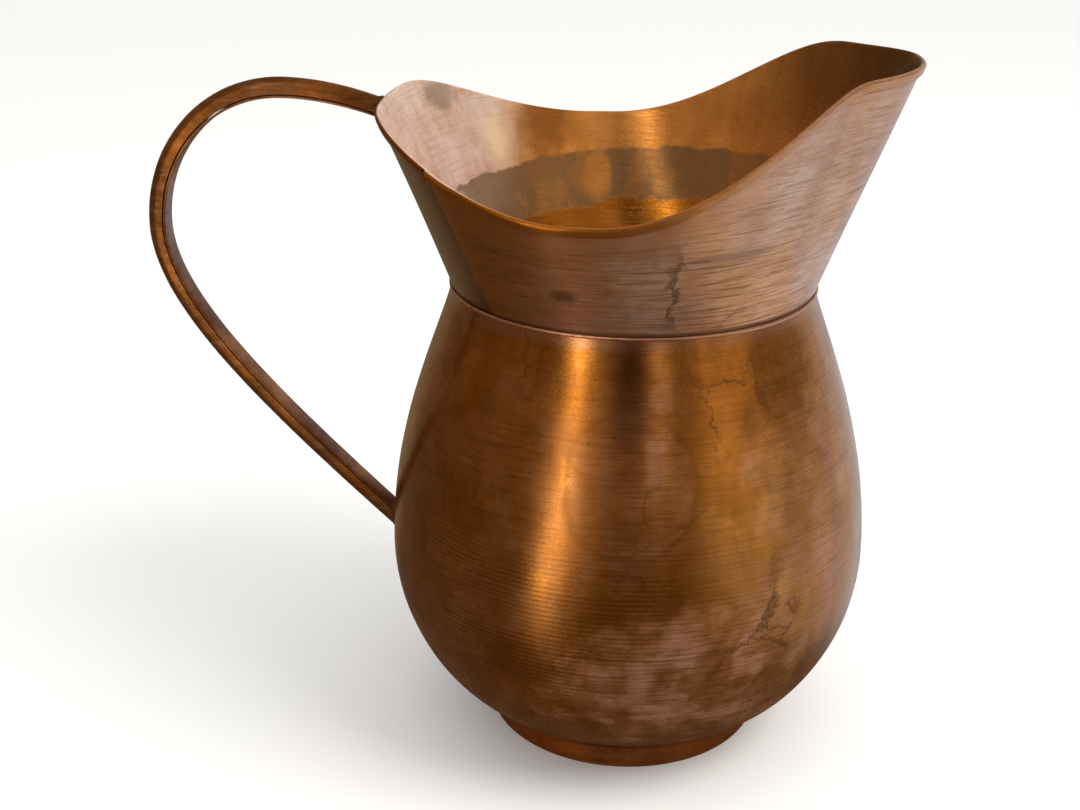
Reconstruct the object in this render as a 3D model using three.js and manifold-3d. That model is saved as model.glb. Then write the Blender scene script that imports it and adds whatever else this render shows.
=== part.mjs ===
// Copper water jug: a spun belly, a wrapped sheet collar with a pinched lip, a foot ring and a
// hollow handle, all brazed together. Millimetres, +Z up, standing on z = 0. The lip points to
// +X and the handle stands at -X. Nothing on it moves.
import * as THREE from 'three';
import { mergeVertices } from 'three/addons/utils/BufferGeometryUtils.js';
import Module from 'manifold-3d';

const wasm = await Module();
wasm.setup();

// ---- Driving dimensions -------------------------------------------------------------------

const gap = 0.3; // clearance between two pieces that touch

// Belly: one spun shell, open at the neck, with its own bottom
const bellyRadius = 98.35;
const bellyHeight = 80.7; // height of the widest circle
const bellyWall = 1;
const undersideHeight = 7; // the flat bottom stands this far off the ground
const undersideRadius = 35;
const undersidePull = 40.4; // how far the bottom curve keeps level
const lowerPull = 35; // how far the side keeps upright below the widest circle
const upperPull = 52; // and above it
const neckRadius = 72;
const neckHeight = 192.3;
const neckPull = 17.6; // how far the wall keeps its lean below the neck
const neckLean = 0.23; // outward drift per millimetre below the neck

// Collar: one sheet wrapped to a flaring cone and pinched to a lip. Heights are above the neck.
const collarWall = 1;
const spigotDepth = 7; // how far the collar reaches down inside the neck
const lipRise = 88.9;
const lipShoulderRise = 87.6;
const sideRise = 47.3; // lowest part of the rim, on both sides
const backRise = 70.9;
const lipReach = 105.1; // radius of the rim at the lip
const pinchRadius = 92.3; // where the sheet is drawn in behind the lip
const cheekRadius = 103; // fullest part, towards the handle
const backRadius = 97.7;
const hemWidth = 3.8; // the rim is folded outwards and pressed flat
const hemThickness = 1.1;
const lapAngle = -133.8; // where the sheet's ends overlap, in degrees from the lip
const lapWidth = 8;
const lapThickness = 0.9;
const lapDress = 5; // the lap is dressed down flush over this height at the neck

// Brazing
const beadRadius = 0.9; // half-round bead round the neck
const seamBeadWidth = 1.3; // filler along the collar's lap
const seamBeadHeight = 0.6;
const handleFillet = 1; // filler round both ends of the handle
const handleFilletLength = 3.2;
const brazeTaper = 0.7; // share of its thickness that the filler loses on the way out
const footFilletReach = 3; // filler between foot ring and belly
const footFilletDrop = 2.6;

// Foot ring
const footRadius = 57.6; // outer radius on the ground
const footFlare = 1; // the ring is this much wider on the ground than at its top
const footWall = 2;

// Handle: a round-backed hollow shell closed by a flat strip on the finger side
const handleWidth = 9;
const handleDepth = 7.8;
const handleBack = 4; // how much of the depth is rounded
const handleWall = 1.2;
const stripThickness = 1;
const stripOverhang = 0.3;
const handleTopScale = 0.88; // the handle thins towards its ends
const handleFootScale = 0.95;
const handleDrop = 5; // top end's centre below the rim
const handleTopAngle = 20; // rise of the top end away from the collar
const crownReach = 138; // where the loop is highest
const crownRise = 8.3; // above the top end
const handleReach = 191.3; // where the loop stands out furthest
const handleReachDrop = 48.5; // below the top end
const handleFootHeight = 83;
const handleFootAngle = 44.5;

// Facets
const roundSteps = 56;
const collarSteps = 96;
const curveSteps = 9;
const handleSteps = 42;
const backSteps = 6;
const brazeSteps = 6;

// ---- Helpers ------------------------------------------------------------------------------

const radians = THREE.MathUtils.degToRad;

// Value at an angle from a list of [angle, value] stations, level at every station.
function easeThrough(stations, angle) {
  const a = Math.abs(angle);
  const next = stations.findIndex(([stationAngle]) => stationAngle > a);
  if (next < 0) return stations[stations.length - 1][1];
  const [fromAngle, fromValue] = stations[next - 1];
  const [toAngle, toValue] = stations[next];
  const share = (a - fromAngle) / (toAngle - fromAngle);
  return THREE.MathUtils.lerp(fromValue, toValue, 0.5 - 0.5 * Math.cos(Math.PI * share));
}

// A profile of [radius, height] points turned round the vertical axis.
function turned(profile) {
  const points = profile.map(([radius, height]) => new THREE.Vector2(radius, height));
  return new THREE.LatheGeometry(points, roundSteps).rotateX(Math.PI / 2);
}

// A closed body through equal-sized rings of points. A closed body's last ring joins its first
// one; an open one is capped by flat faces of the given outline.
function lofted(rings, { closed = false, outline = null } = {}) {
  const size = rings[0].length;
  const positions = rings.flat().flatMap((point) => [point.x, point.y, point.z]);
  const faces = [];
  const bands = closed ? rings.length : rings.length - 1;
  for (let band = 0; band < bands; band += 1) {
    const here = band * size;
    const there = ((band + 1) % rings.length) * size;
    for (let i = 0; i < size; i += 1) {
      const j = (i + 1) % size;
      faces.push(here + i, here + j, there + j, here + i, there + j, there + i);
    }
  }
  if (!closed) {
    const last = (rings.length - 1) * size;
    for (const [a, b, c] of THREE.ShapeUtils.triangulateShape(outline, [])) {
      faces.push(c, b, a, last + a, last + b, last + c);
    }
  }
  const geometry = new THREE.BufferGeometry();
  geometry.setAttribute('position', new THREE.Float32BufferAttribute(positions, 3));
  geometry.setIndex(faces);
  return geometry;
}

// A geometry as a solid that can be joined and cut.
function solid(geometry) {
  const bare = geometry.clone();
  bare.deleteAttribute('normal');
  bare.deleteAttribute('uv');
  const merged = mergeVertices(bare, 1e-4);
  const vertProperties = new Float32Array(merged.attributes.position.array);
  const triVerts = new Uint32Array(merged.index.array);
  return new wasm.Manifold(new wasm.Mesh({ numProp: 3, vertProperties, triVerts }));
}

// A solid back as a geometry.
function surface(body) {
  const { vertProperties, triVerts } = body.getMesh();
  const geometry = new THREE.BufferGeometry();
  geometry.setAttribute('position', new THREE.BufferAttribute(vertProperties, 3));
  geometry.setIndex(new THREE.BufferAttribute(triVerts, 1));
  return geometry;
}

// ---- Belly --------------------------------------------------------------------------------

const lowerCurve = new THREE.CubicBezierCurve(
  new THREE.Vector2(undersideRadius, undersideHeight),
  new THREE.Vector2(undersideRadius + undersidePull, undersideHeight),
  new THREE.Vector2(bellyRadius, bellyHeight - lowerPull),
  new THREE.Vector2(bellyRadius, bellyHeight),
);
const upperCurve = new THREE.CubicBezierCurve(
  new THREE.Vector2(bellyRadius, bellyHeight),
  new THREE.Vector2(bellyRadius, bellyHeight + upperPull),
  new THREE.Vector2(neckRadius + neckLean * neckPull, neckHeight - neckPull),
  new THREE.Vector2(neckRadius, neckHeight),
);

// The belly's outline from the bottom's edge to the neck, grown outwards by an amount.
function bellyOutline(grow) {
  const points = [];
  for (const curve of [lowerCurve, upperCurve]) {
    for (let step = points.length ? 1 : 0; step <= curveSteps; step += 1) {
      const { x, y } = curve.getPoint(step / curveSteps);
      const along = curve.getTangent(step / curveSteps);
      points.push([x + grow * along.y, y - grow * along.x]);
    }
  }
  return points;
}

// Radius of the belly's outside at a height on its upper part.
function bellyRadiusAt(height) {
  const outline = bellyOutline(0);
  const above = outline.findIndex(([, z]) => z >= height);
  const [[r0, z0], [r1, z1]] = [outline[above - 1], outline[above]];
  return THREE.MathUtils.mapLinear(height, z0, z1, r0, r1);
}

function makeBelly() {
  const inner = bellyOutline(-bellyWall).reverse();
  inner[0] = [neckRadius - bellyWall, neckHeight];
  return turned([
    [0, undersideHeight],
    ...bellyOutline(0),
    ...inner,
    [0, undersideHeight + bellyWall],
  ]);
}

// The belly filled in and grown by the clearance, to cut what seats on it.
function bellySeat() {
  const outline = bellyOutline(gap);
  return solid(turned([[0, undersideHeight - gap], ...outline, [0, outline.at(-1)[1]]]));
}

// ---- Collar -------------------------------------------------------------------------------

const riseStations = [
  [0, lipRise], [27, lipShoulderRise], [97, sideRise], [102, sideRise], [163, backRise], [180, backRise],
];
const radiusStations = [
  [0, lipReach], [3, lipReach], [37, pinchRadius], [132, cheekRadius], [180, backRadius],
];
const spigotRadius = neckRadius - bellyWall - gap;
const collarBase = neckHeight + gap;

// How far the outside stands proud at an angle because the sheet's ends overlap there. The outer
// end steps up at the lap's angle and settles back over the inner end on the lip's side.
function lapStep(angle) {
  const along = radians(angle - lapAngle) * cheekRadius;
  if (along <= 0 || along > 2 * lapWidth) return 0;
  return lapThickness * Math.min(1, 2 - along / lapWidth);
}

// The straight line that the sheet follows from the neck to the rim at an angle. Its point(along,
// out) lies that far up the line and that far outside it.
function collarLine(angle) {
  const radius = easeThrough(radiusStations, angle);
  const height = neckHeight + easeThrough(riseStations, angle);
  const run = new THREE.Vector2(radius - neckRadius, height - collarBase);
  const length = run.length();
  run.normalize();
  const turn = radians(angle);
  return {
    length,
    at(radiusHere, heightHere) {
      return new THREE.Vector3(radiusHere * Math.cos(turn), radiusHere * Math.sin(turn), heightHere);
    },
    point(along, out) {
      const radiusHere = neckRadius + run.x * along + run.y * out;
      const heightHere = collarBase + run.y * along - run.x * out;
      return this.at(radiusHere, heightHere);
    },
  };
}

// The outside of the collar at an angle from the neck up over the folded rim.
function collarOutside(angle, grow) {
  const line = collarLine(angle);
  const proud = lapStep(angle) + grow;
  const foldRadius = (collarWall + hemThickness) / 2;
  const foldCentre = proud + hemThickness - foldRadius;
  return [
    line.point(0, grow),
    line.point(lapDress, proud),
    line.point(line.length - hemWidth - grow, proud),
    line.point(line.length - hemWidth - grow, proud + hemThickness),
    line.point(line.length - foldRadius, proud + hemThickness),
    line.point(line.length - foldRadius / 3, foldCentre + foldRadius * 0.75),
    line.point(line.length + grow, foldCentre),
  ];
}

function collarSection(angle) {
  const line = collarLine(angle);
  const foldRadius = (collarWall + hemThickness) / 2;
  return [
    line.at(spigotRadius, neckHeight - spigotDepth),
    line.at(spigotRadius, collarBase),
    ...collarOutside(angle, 0),
    line.point(line.length - foldRadius, -collarWall),
    line.point(collarWall, -collarWall),
    line.at(spigotRadius - collarWall, collarBase + collarWall / 3),
    line.at(spigotRadius - collarWall, neckHeight - spigotDepth),
  ];
}

// Angles round the collar, with a close pair where the lap steps up.
function collarAngles() {
  const angles = [];
  for (let step = 0; step < collarSteps; step += 1) {
    angles.push(-180 + (360 * step) / collarSteps);
  }
  const near = 0.4 * (360 / collarSteps);
  const clear = angles.filter((angle) => Math.abs(angle - lapAngle) > near);
  return [...clear, lapAngle, lapAngle + 0.25].sort((a, b) => a - b);
}

function makeCollar() {
  return lofted(collarAngles().reverse().map(collarSection), { closed: true });
}

// The collar filled in, grown by the clearance and carried on above the rim, to cut what seats on it.
function collarSeat() {
  const above = new THREE.Vector3(0, 0, handleDepth);
  const rings = collarAngles().map((angle) => {
    const outside = collarOutside(angle, gap);
    return [...outside, outside.at(-1).clone().add(above)];
  });
  const levels = rings[0].map((_, level) => rings.map((ring) => ring[level]));
  const outline = levels[0].map(({ x, y }) => new THREE.Vector2(x, y));
  return solid(lofted(levels, { outline }));
}

// Filler along the step of the lap, on the outside of the sheet that lies below.
function makeCollarSeamBraze() {
  const clear = THREE.MathUtils.radToDeg(gap / neckRadius);
  const across = THREE.MathUtils.radToDeg(seamBeadWidth / neckRadius);
  const corners = [
    [gap, lapAngle - clear - across],
    [gap + seamBeadHeight, lapAngle - clear - across / 2],
    [gap + seamBeadHeight, lapAngle - clear],
    [gap, lapAngle - clear],
  ];
  const bottom = Math.max(lapDress, beadRadius + gap);
  const ends = [bottom, collarLine(lapAngle).length - hemWidth - gap];
  const rings = ends.map((along) => corners.map(([out, angle]) => collarLine(angle).point(along, out)));
  const outline = corners.map(([out, angle]) => new THREE.Vector2(out, radians(angle) * neckRadius));
  return lofted(rings, { outline });
}

// ---- Neck bead and foot -------------------------------------------------------------------

// Largest radius of the collar's outside at a height just above the neck.
function collarRadiusAt(height) {
  const radii = collarAngles().map((angle) => {
    const [low, high] = collarOutside(angle, 0);
    const share = (height - low.z) / (high.z - low.z);
    const { x, y } = low.clone().lerp(high, share);
    return Math.hypot(x, y);
  });
  return Math.max(...radii);
}

function makeNeckBead() {
  const lower = neckRadius + neckLean * beadRadius + gap;
  const upper = collarRadiusAt(neckHeight + beadRadius + gap) + gap;
  const profile = [];
  for (let step = 0; step <= backSteps; step += 1) {
    const turn = Math.PI * (step / backSteps - 0.5);
    const back = THREE.MathUtils.lerp(lower, upper, step / backSteps);
    profile.push([back + beadRadius * Math.cos(turn), neckHeight + beadRadius * Math.sin(turn)]);
  }
  return turned([...profile, profile[0]]);
}

// The foot's pieces are made too tall and the belly cuts them off.
const footBlank = bellyHeight / 2;

function makeFootRing(seat) {
  const topRadius = footRadius - footFlare;
  const blank = turned([
    [footRadius - footWall, 0],
    [footRadius, 0],
    [topRadius, undersideHeight],
    [topRadius, footBlank],
    [topRadius - footWall, footBlank],
    [topRadius - footWall, undersideHeight],
    [footRadius - footWall, 0],
  ]);
  return surface(solid(blank).subtract(seat));
}

// Filler in the corner between the foot ring's outside and the belly.
function makeFootBraze(seat, footTop) {
  const bottom = Math.max(footTop - footFilletDrop, undersideHeight);
  const inner = footRadius - footFlare + gap;
  const blank = turned([
    [inner, bottom],
    [inner + footFilletReach / 3, (bottom + footTop) / 2],
    [inner + footFilletReach, footTop + footFilletReach / 2],
    [inner + footFilletReach, footBlank],
    [inner, footBlank],
    [inner, bottom],
  ]);
  return surface(solid(blank).subtract(seat));
}

// ---- Handle -------------------------------------------------------------------------------

// How far both ends are made too long, enough for the walls to cut the whole section.
const handleInset = handleDepth;

// Point in the plane of the handle: a distance out towards -X and a height.
const inPlane = (out, height) => new THREE.Vector3(-out, 0, height);

// The handle's centre line. Both ends run straight on into the jug, whose walls cut them.
function handlePath() {
  const topHeight = neckHeight + backRise - handleDrop;
  const topShare = (topHeight - collarBase) / (backRise - gap);
  const topOut = THREE.MathUtils.lerp(neckRadius, backRadius, topShare);
  const footOut = bellyRadiusAt(handleFootHeight);
  const top = inPlane(topOut, topHeight);
  const crown = inPlane(crownReach, topHeight + crownRise);
  const reach = inPlane(handleReach, topHeight - handleReachDrop);
  const foot = inPlane(footOut, handleFootHeight);
  const topAway = inPlane(Math.cos(radians(handleTopAngle)), Math.sin(radians(handleTopAngle)));
  const footAway = inPlane(Math.cos(radians(handleFootAngle)), Math.sin(radians(handleFootAngle)));
  const crownPull = (crownReach - topOut) / 3;
  const roundShare = 0.5523; // control length that rounds a quarter turn
  const outPull = roundShare * (handleReach - crownReach);
  const dropPull = roundShare * (handleReachDrop + crownRise);
  const footRun = reach.distanceTo(foot);
  const path = new THREE.CurvePath();
  path.add(new THREE.LineCurve3(top.clone().addScaledVector(topAway, -handleInset), top));
  path.add(new THREE.CubicBezierCurve3(
    top,
    top.clone().addScaledVector(topAway, crownPull),
    crown.clone().add(inPlane(-crownPull, 0)),
    crown,
  ));
  path.add(new THREE.CubicBezierCurve3(
    crown,
    crown.clone().add(inPlane(outPull, 0)),
    reach.clone().add(inPlane(0, dropPull)),
    reach,
  ));
  path.add(new THREE.CubicBezierCurve3(
    reach,
    reach.clone().add(inPlane(0, -footRun / 5)),
    foot.clone().addScaledVector(footAway, footRun / 2),
    foot,
  ));
  path.add(new THREE.LineCurve3(foot, foot.clone().addScaledVector(footAway, -handleInset)));
  return path;
}

// Stations along the handle between two shares of its length. Each has its place, the direction
// away from the finger side, and the handle's thickness there against its full one.
function handleStations(from, to, steps) {
  const path = handlePath();
  const stations = [];
  for (let step = 0; step <= steps; step += 1) {
    const share = from + ((to - from) * step) / steps;
    const along = path.getTangentAt(share);
    const away = new THREE.Vector3(along.z, 0, -along.x);
    const endScale = share < 0.5 ? handleTopScale : handleFootScale;
    const fullness = Math.sin(Math.PI * share) ** 0.6;
    const scale = THREE.MathUtils.lerp(endScale, 1, fullness);
    stations.push({ share, place: path.getPointAt(share), along, away, scale });
  }
  return stations;
}

const across = new THREE.Vector3(0, 1, 0);

// A section swept along the stations. A section is a list of [out, side] points, and a slant
// carries its outer points further along the handle, so that its plane lies along a wall.
function swept(stations, sectionAt, slant = 0) {
  const rings = stations.map((station) => sectionAt(station).map(([out, side]) => (
    station.place.clone()
      .addScaledVector(station.away, out)
      .addScaledVector(across, side)
      .addScaledVector(station.along, slant * out)
  )));
  const outline = sectionAt(stations[0]).map(([out, side]) => new THREE.Vector2(out, side));
  return lofted(rings, { outline });
}

// Half an ellipse from one side of the handle over its back to the other.
function roundBack(centre, reach, half) {
  const points = [];
  for (let step = 0; step <= backSteps; step += 1) {
    const turn = Math.PI * (step / backSteps - 0.5);
    points.push([centre + reach * Math.cos(turn), half * Math.sin(turn)]);
  }
  return points;
}

// The whole handle's outside, grown by an amount.
function handleOutline(scale, grow) {
  const depth = handleDepth * scale;
  const half = (handleWidth * scale) / 2;
  const flat = half + stripOverhang + grow;
  return [
    [-depth / 2 - grow, -flat],
    ...roundBack(depth / 2 - handleBack, handleBack + grow, half + grow),
    [-depth / 2 - grow, flat],
  ];
}

// The round-backed shell, open towards the strip.
function shellSection({ scale }) {
  const depth = handleDepth * scale;
  const half = (handleWidth * scale) / 2;
  const edge = -depth / 2 + stripThickness + gap;
  const centre = depth / 2 - handleBack;
  const innerHalf = half - handleWall;
  return [
    [edge, -half],
    ...roundBack(centre, handleBack, half),
    [edge, half],
    [edge, innerHalf],
    ...roundBack(centre, handleBack - handleWall, innerHalf).reverse(),
    [edge, -innerHalf],
  ];
}

// The flat strip that closes the shell.
function stripSection({ scale }) {
  const inside = (-handleDepth * scale) / 2;
  const half = (handleWidth * scale) / 2 + stripOverhang;
  return [
    [inside, -half],
    [inside + stripThickness, -half],
    [inside + stripThickness, half],
    [inside, half],
  ];
}

function makeHandlePiece(sectionAt, seats) {
  const blank = solid(swept(handleStations(0, 1, handleSteps), sectionAt));
  return surface(blank.subtract(seats));
}

// Filler round one end of the handle, the one at share 0 or 1 of its length: thick against the
// wall and thin where it leaves it. The handle meets the wall at an angle off square.
function makeHandleBraze(end, angle, seats) {
  const length = handlePath().getLength();
  const spread = (near, far) => (
    end === 0 ? [near / length, far / length] : [1 - far / length, 1 - near / length]
  );
  const far = handleInset + handleFilletLength;
  const thick = solid(swept(handleStations(...spread(gap, far), brazeSteps), ({ share, scale }) => {
    const past = Math.max(0, Math.abs(share - end) * length - handleInset);
    return handleOutline(scale, gap + handleFillet * (1 - (brazeTaper * past) / handleFilletLength));
  }, Math.tan(angle)));
  const bore = handleStations(...spread(0, far + handleInset), 2 * brazeSteps);
  const core = solid(swept(bore, ({ scale }) => handleOutline(scale, gap)));
  return surface(thick.subtract(core).subtract(seats));
}

// ---- Assembly -----------------------------------------------------------------------------

const copper = (color, roughness) => (
  new THREE.MeshStandardMaterial({ color, roughness, metalness: 1 })
);

const jug = new THREE.Group();

function add(name, geometry, material) {
  const mesh = new THREE.Mesh(geometry, material);
  mesh.name = name;
  jug.add(mesh);
}

const onBelly = bellySeat();
const onCollar = collarSeat();
const onBoth = onBelly.add(onCollar);
const backLean = Math.atan2(backRadius - neckRadius, backRise);
const topOffSquare = radians(handleTopAngle) + backLean;
const footRing = makeFootRing(onBelly);
footRing.computeBoundingBox();

add('belly', makeBelly(), copper(0x9a5a34, 0.35));
add('collar', makeCollar(), copper(0xa0634a, 0.42));
add('collar_seam_braze', makeCollarSeamBraze(), copper(0x6b3a26, 0.5));
add('neck_bead', makeNeckBead(), copper(0xb0654a, 0.38));
add('foot_ring', footRing, copper(0x7c3c1c, 0.45));
add('foot_braze', makeFootBraze(onBelly, footRing.boundingBox.max.z), copper(0x6e3418, 0.5));
add('handle_shell', makeHandlePiece(shellSection, onBoth), copper(0x80471f, 0.4));
add('handle_strip', makeHandlePiece(stripSection, onBoth), copper(0x8c5230, 0.4));
add('handle_top_braze', makeHandleBraze(0, topOffSquare, onBoth), copper(0x5e3018, 0.5));
add('handle_foot_braze', makeHandleBraze(1, radians(handleFootAngle), onBoth), copper(0x4a2412, 0.5));

// The jug stands with the middle of its overall length on the origin.
const middle = new THREE.Box3().setFromObject(jug).getCenter(new THREE.Vector3());
jug.position.x = -middle.x;

export default jug;
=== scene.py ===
"""Copper water jug: spun belly, wrapped collar with a pinched lip, foot ring and hollow handle,
brazed together and grown patchy with use. Metres, +Z up, lip to +X, handle to -X."""

import functools
import math

import bmesh
import bpy
import numpy as np
from bpy.props import FloatProperty, FloatVectorProperty, IntProperty, PointerProperty
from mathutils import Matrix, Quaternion, Vector


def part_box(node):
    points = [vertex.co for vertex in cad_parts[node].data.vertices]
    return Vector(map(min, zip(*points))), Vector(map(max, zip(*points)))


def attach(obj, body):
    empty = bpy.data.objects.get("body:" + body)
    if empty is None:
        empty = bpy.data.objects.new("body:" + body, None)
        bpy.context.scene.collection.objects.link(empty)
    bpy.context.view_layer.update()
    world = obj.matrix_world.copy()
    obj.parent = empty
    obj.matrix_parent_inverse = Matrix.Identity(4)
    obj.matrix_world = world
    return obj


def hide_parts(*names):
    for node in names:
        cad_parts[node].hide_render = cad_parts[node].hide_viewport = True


bl_info = {
    "name": "Copper Water Jug",
    "version": (1, 0, 0),
    "blender": (4, 5, 0),
    "location": "3D View > Sidebar > Copper Jug",
    "description": "Makes the copper jug's pieces round its packed frame",
    "category": "Add Mesh",
}

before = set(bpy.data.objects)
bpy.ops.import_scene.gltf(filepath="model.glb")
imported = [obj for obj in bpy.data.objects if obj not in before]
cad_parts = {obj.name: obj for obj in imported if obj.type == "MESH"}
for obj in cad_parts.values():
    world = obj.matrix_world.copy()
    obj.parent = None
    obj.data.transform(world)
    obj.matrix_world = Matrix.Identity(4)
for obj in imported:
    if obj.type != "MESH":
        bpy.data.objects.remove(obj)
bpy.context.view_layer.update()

MM = 0.001
SENSOR_WIDTH = 36.0
SHARP_ANGLE = math.radians(42)  # edges that turn more than this stay sharp
MERGE_DISTANCE = 2e-6
GAP = 0.3 * MM  # clearance between two pieces that touch
FULL_TURN = 2 * math.pi

BELLY_LOW, BELLY_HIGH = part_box("belly")
FOOT_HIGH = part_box("foot_ring")[1]
HANDLE_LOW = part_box("handle_shell")[0]
AXIS_X = (BELLY_LOW.x + BELLY_HIGH.x) / 2  # the jug's own axis stands here, at y = 0

# Belly outline: how far its curves keep their direction from each end
UNDERSIDE_RADIUS = 35 * MM
WIDEST_HEIGHT = 80.7 * MM
UNDERSIDE_PULL = 40.4 * MM
LOWER_PULL = 35 * MM
UPPER_PULL = 52 * MM
NECK_PULL = 17.6 * MM
NECK_LEAN = 0.23
RIDGE_LOW, RIDGE_HIGH = 48 * MM, 138 * MM  # the tool's ridges show between these heights

# Rim of the collar round from the lip: [degrees, height above the neck] and [degrees, radius]
SIDE_FROM, SIDE_TO, BACK_FROM = 97, 102, 163
LIP_SHOULDER = (27, 87.6 * MM)
LIP_FLAT, PINCH_AT, CHEEK_AT = 3, 37, 132
SPIGOT_DEPTH = 7 * MM
LAP_ANGLE = -133.8
LAP_WIDTH = 8 * MM
LAP_DRESS = 5 * MM

# Handle: round back of the section, ends' thickness against the middle, and the loop's path
HANDLE_BACK = 4 * MM
HANDLE_WALL = 1.2 * MM
STRIP_THICKNESS = 1 * MM
STRIP_OVERHANG = 0.3 * MM
HANDLE_TOP_SCALE, HANDLE_FOOT_SCALE = 0.88, 0.95
HANDLE_DROP = 5 * MM
HANDLE_TOP_ANGLE = math.radians(20)
HANDLE_FOOT_ANGLE = math.radians(44.5)
HANDLE_FOOT_HEIGHT = 83 * MM
CROWN_REACH = 138 * MM
CROWN_RISE = 8.3 * MM
REACH_DROP = 48.5 * MM
QUARTER_TURN = 0.5523  # control length that rounds a quarter turn


# ---- Settings -------------------------------------------------------------------------------


def length(label, value, description):
    """A length that the sidebar shows in the scene's unit."""
    return FloatProperty(
        name=label, default=value, description=description, min=0.0, unit="LENGTH"
    )


def angle(label, degrees, description):
    """An angle, given in degrees."""
    return FloatProperty(
        name=label, default=math.radians(degrees), description=description, subtype="ANGLE"
    )


def colour(label, value, description):
    """A colour, given as linear red, green and blue."""
    return FloatVectorProperty(
        name=label, default=value, description=description, subtype="COLOR", min=0.0, max=1.0
    )


def place(label, value, description):
    """A point in the jug's own axes."""
    return FloatVectorProperty(
        name=label, default=value, description=description, subtype="XYZ", unit="LENGTH"
    )


class JugShape(bpy.types.PropertyGroup):
    """Sizes of the jug's sheet and bar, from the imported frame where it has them."""

    belly_radius: length("Belly Radius", (BELLY_HIGH.y - BELLY_LOW.y) / 2, "Widest circle of the belly")
    belly_wall: length("Belly Wall", 1 * MM, "Thickness of the spun sheet")
    neck_radius: length("Neck Radius", 72 * MM, "Outside of the belly at its neck")
    neck_height: length("Neck Height", BELLY_HIGH.z, "Height of the belly's upper edge")
    ridge_spacing: length("Ridge Spacing", 1.9 * MM, "From one spinning ridge to the next")
    ridge_height: length("Ridge Height", 0.03 * MM, "How far the spinning ridges stand up")
    unevenness: length("Unevenness", 0.35 * MM, "How far the hand-worked sheet strays")
    lip_rise: length("Lip Rise", 88.9 * MM, "Lip's height above the neck")
    side_rise: length("Side Rise", 47.3 * MM, "Lowest part of the rim above the neck")
    back_rise: length("Back Rise", 70.9 * MM, "Rim at the handle above the neck")
    lip_reach: length("Lip Reach", 105.1 * MM, "Rim's radius at the lip")
    pinch_radius: length("Pinch Radius", 92.3 * MM, "Rim's radius where the lip is drawn in")
    cheek_radius: length("Cheek Radius", 103 * MM, "Rim's radius where the collar is fullest")
    back_radius: length("Back Radius", 97.7 * MM, "Rim's radius at the handle")
    collar_wall: length("Collar Wall", 1 * MM, "Thickness of the wrapped sheet")
    hem_width: length("Hem Width", 3.8 * MM, "How far the rim is folded down outside")
    hem_thickness: length("Hem Thickness", 1.1 * MM, "Thickness of the folded rim")
    lap_thickness: length("Lap Thickness", 0.9 * MM, "Step where the collar's ends overlap")
    foot_radius: length("Foot Radius", FOOT_HIGH.y, "Foot ring's outside on the ground")
    foot_wall: length("Foot Wall", 2 * MM, "Thickness of the foot ring")
    handle_width: length("Handle Width", 9 * MM, "Width of the handle's back")
    handle_depth: length("Handle Depth", 7.8 * MM, "Handle from its back to the finger side")
    bead_radius: length("Bead Radius", 0.9 * MM, "Half-round bead at the neck")
    steps_round: IntProperty(name="Steps Round", default=188, min=24, description="Faces round the jug")


class JugFinish(bpy.types.PropertyGroup):
    """Colours of the metal where it is clean, tarnished, oxidised or stained, and of its painted
    highlight, painted shade and painted reflections.
    """

    polished: colour("Polished", (0.84, 0.36, 0.085), "Copper that hands have kept bright")
    tarnish: colour("Tarnish", (0.35, 0.112, 0.006), "Brown skin of old copper")
    olive: colour("Olive", (0.27, 0.135, 0.03), "Greenish brown of the smooth lap")
    # Bloom is also the colour of the painted pale reflection strip on the belly.
    bloom: colour("Bloom", (0.50, 0.25, 0.155), "Pink to brown oxide")
    mauve: colour("Mauve", (0.54, 0.33, 0.25), "Greyish pink of the brushed collar")
    # Stain is also the colour of the painted shade in the belly's grooves and of the painted shadow
    # line under the hem.
    stain_and_shade: colour("Stain", (0.11, 0.05, 0.02), "Dark brown of dried drips")
    tide: colour("Tide", (0.18, 0.095, 0.036), "Grey-brown band that standing water left")
    pale: colour("Pale", (0.80, 0.585, 0.485), "Pale film inside the mouth")
    # A painted highlight: the bright golden streak inside the mouth is painted on.
    painted_golden_highlight: colour("Gilt", (1.0, 0.75, 0.44), "Bright golden streak inside the mouth")
    # Soot is also the colour of the painted dark reflection band on the belly below the neck.
    soot_and_dark_reflection: colour("Soot", (0.12, 0.045, 0.018), "Residue along the brazed joints")


class JugView(bpy.types.PropertyGroup):
    """Camera and stage."""

    azimuth: angle("Azimuth", 4.39, "Camera's bearing from the front")
    elevation: angle("Elevation", 22.15, "Camera's height angle")
    roll: angle("Roll", 0.11, "Camera's tilt about its line of sight")
    distance: length("Distance", 0.620, "Camera to the point it looks at")
    lens: FloatProperty(
        name="Lens", default=50.0, unit="CAMERA", description="Focal length on a 36 mm sensor"
    )
    target: place("Target", (0.0079, -0.0028, 0.1377), "Point the camera looks at")
    floor_size: length("Floor Size", 16.0, "Side of the floor")
    floor_colour: colour("Floor Colour", (0.93, 0.925, 0.915), "Pale floor")
    lamp_place: place("Lamp Place", (1.0, -0.45, 1.25), "Middle of the soft lamp")
    lamp_size: length("Lamp Size", 0.9, "Width of the soft lamp")
    lamp_power: FloatProperty(
        name="Lamp Power", default=14.5, min=0.0, unit="POWER", description="Power of the soft lamp"
    )
    lamp_colour: colour("Lamp Colour", (1.0, 0.97, 0.93), "Colour of the soft lamp")


# ---- Node helpers ---------------------------------------------------------------------------


def node(tree, kind, inputs=None, **settings):
    """One node with its settings, and its inputs from other sockets or plain values."""
    made = tree.nodes.new(kind)
    for key, value in settings.items():
        setattr(made, key, value)
    for key, value in (inputs or {}).items():
        if isinstance(value, bpy.types.NodeSocket):
            tree.links.new(value, made.inputs[key])
        else:
            made.inputs[key].default_value = value
    return made


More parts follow.
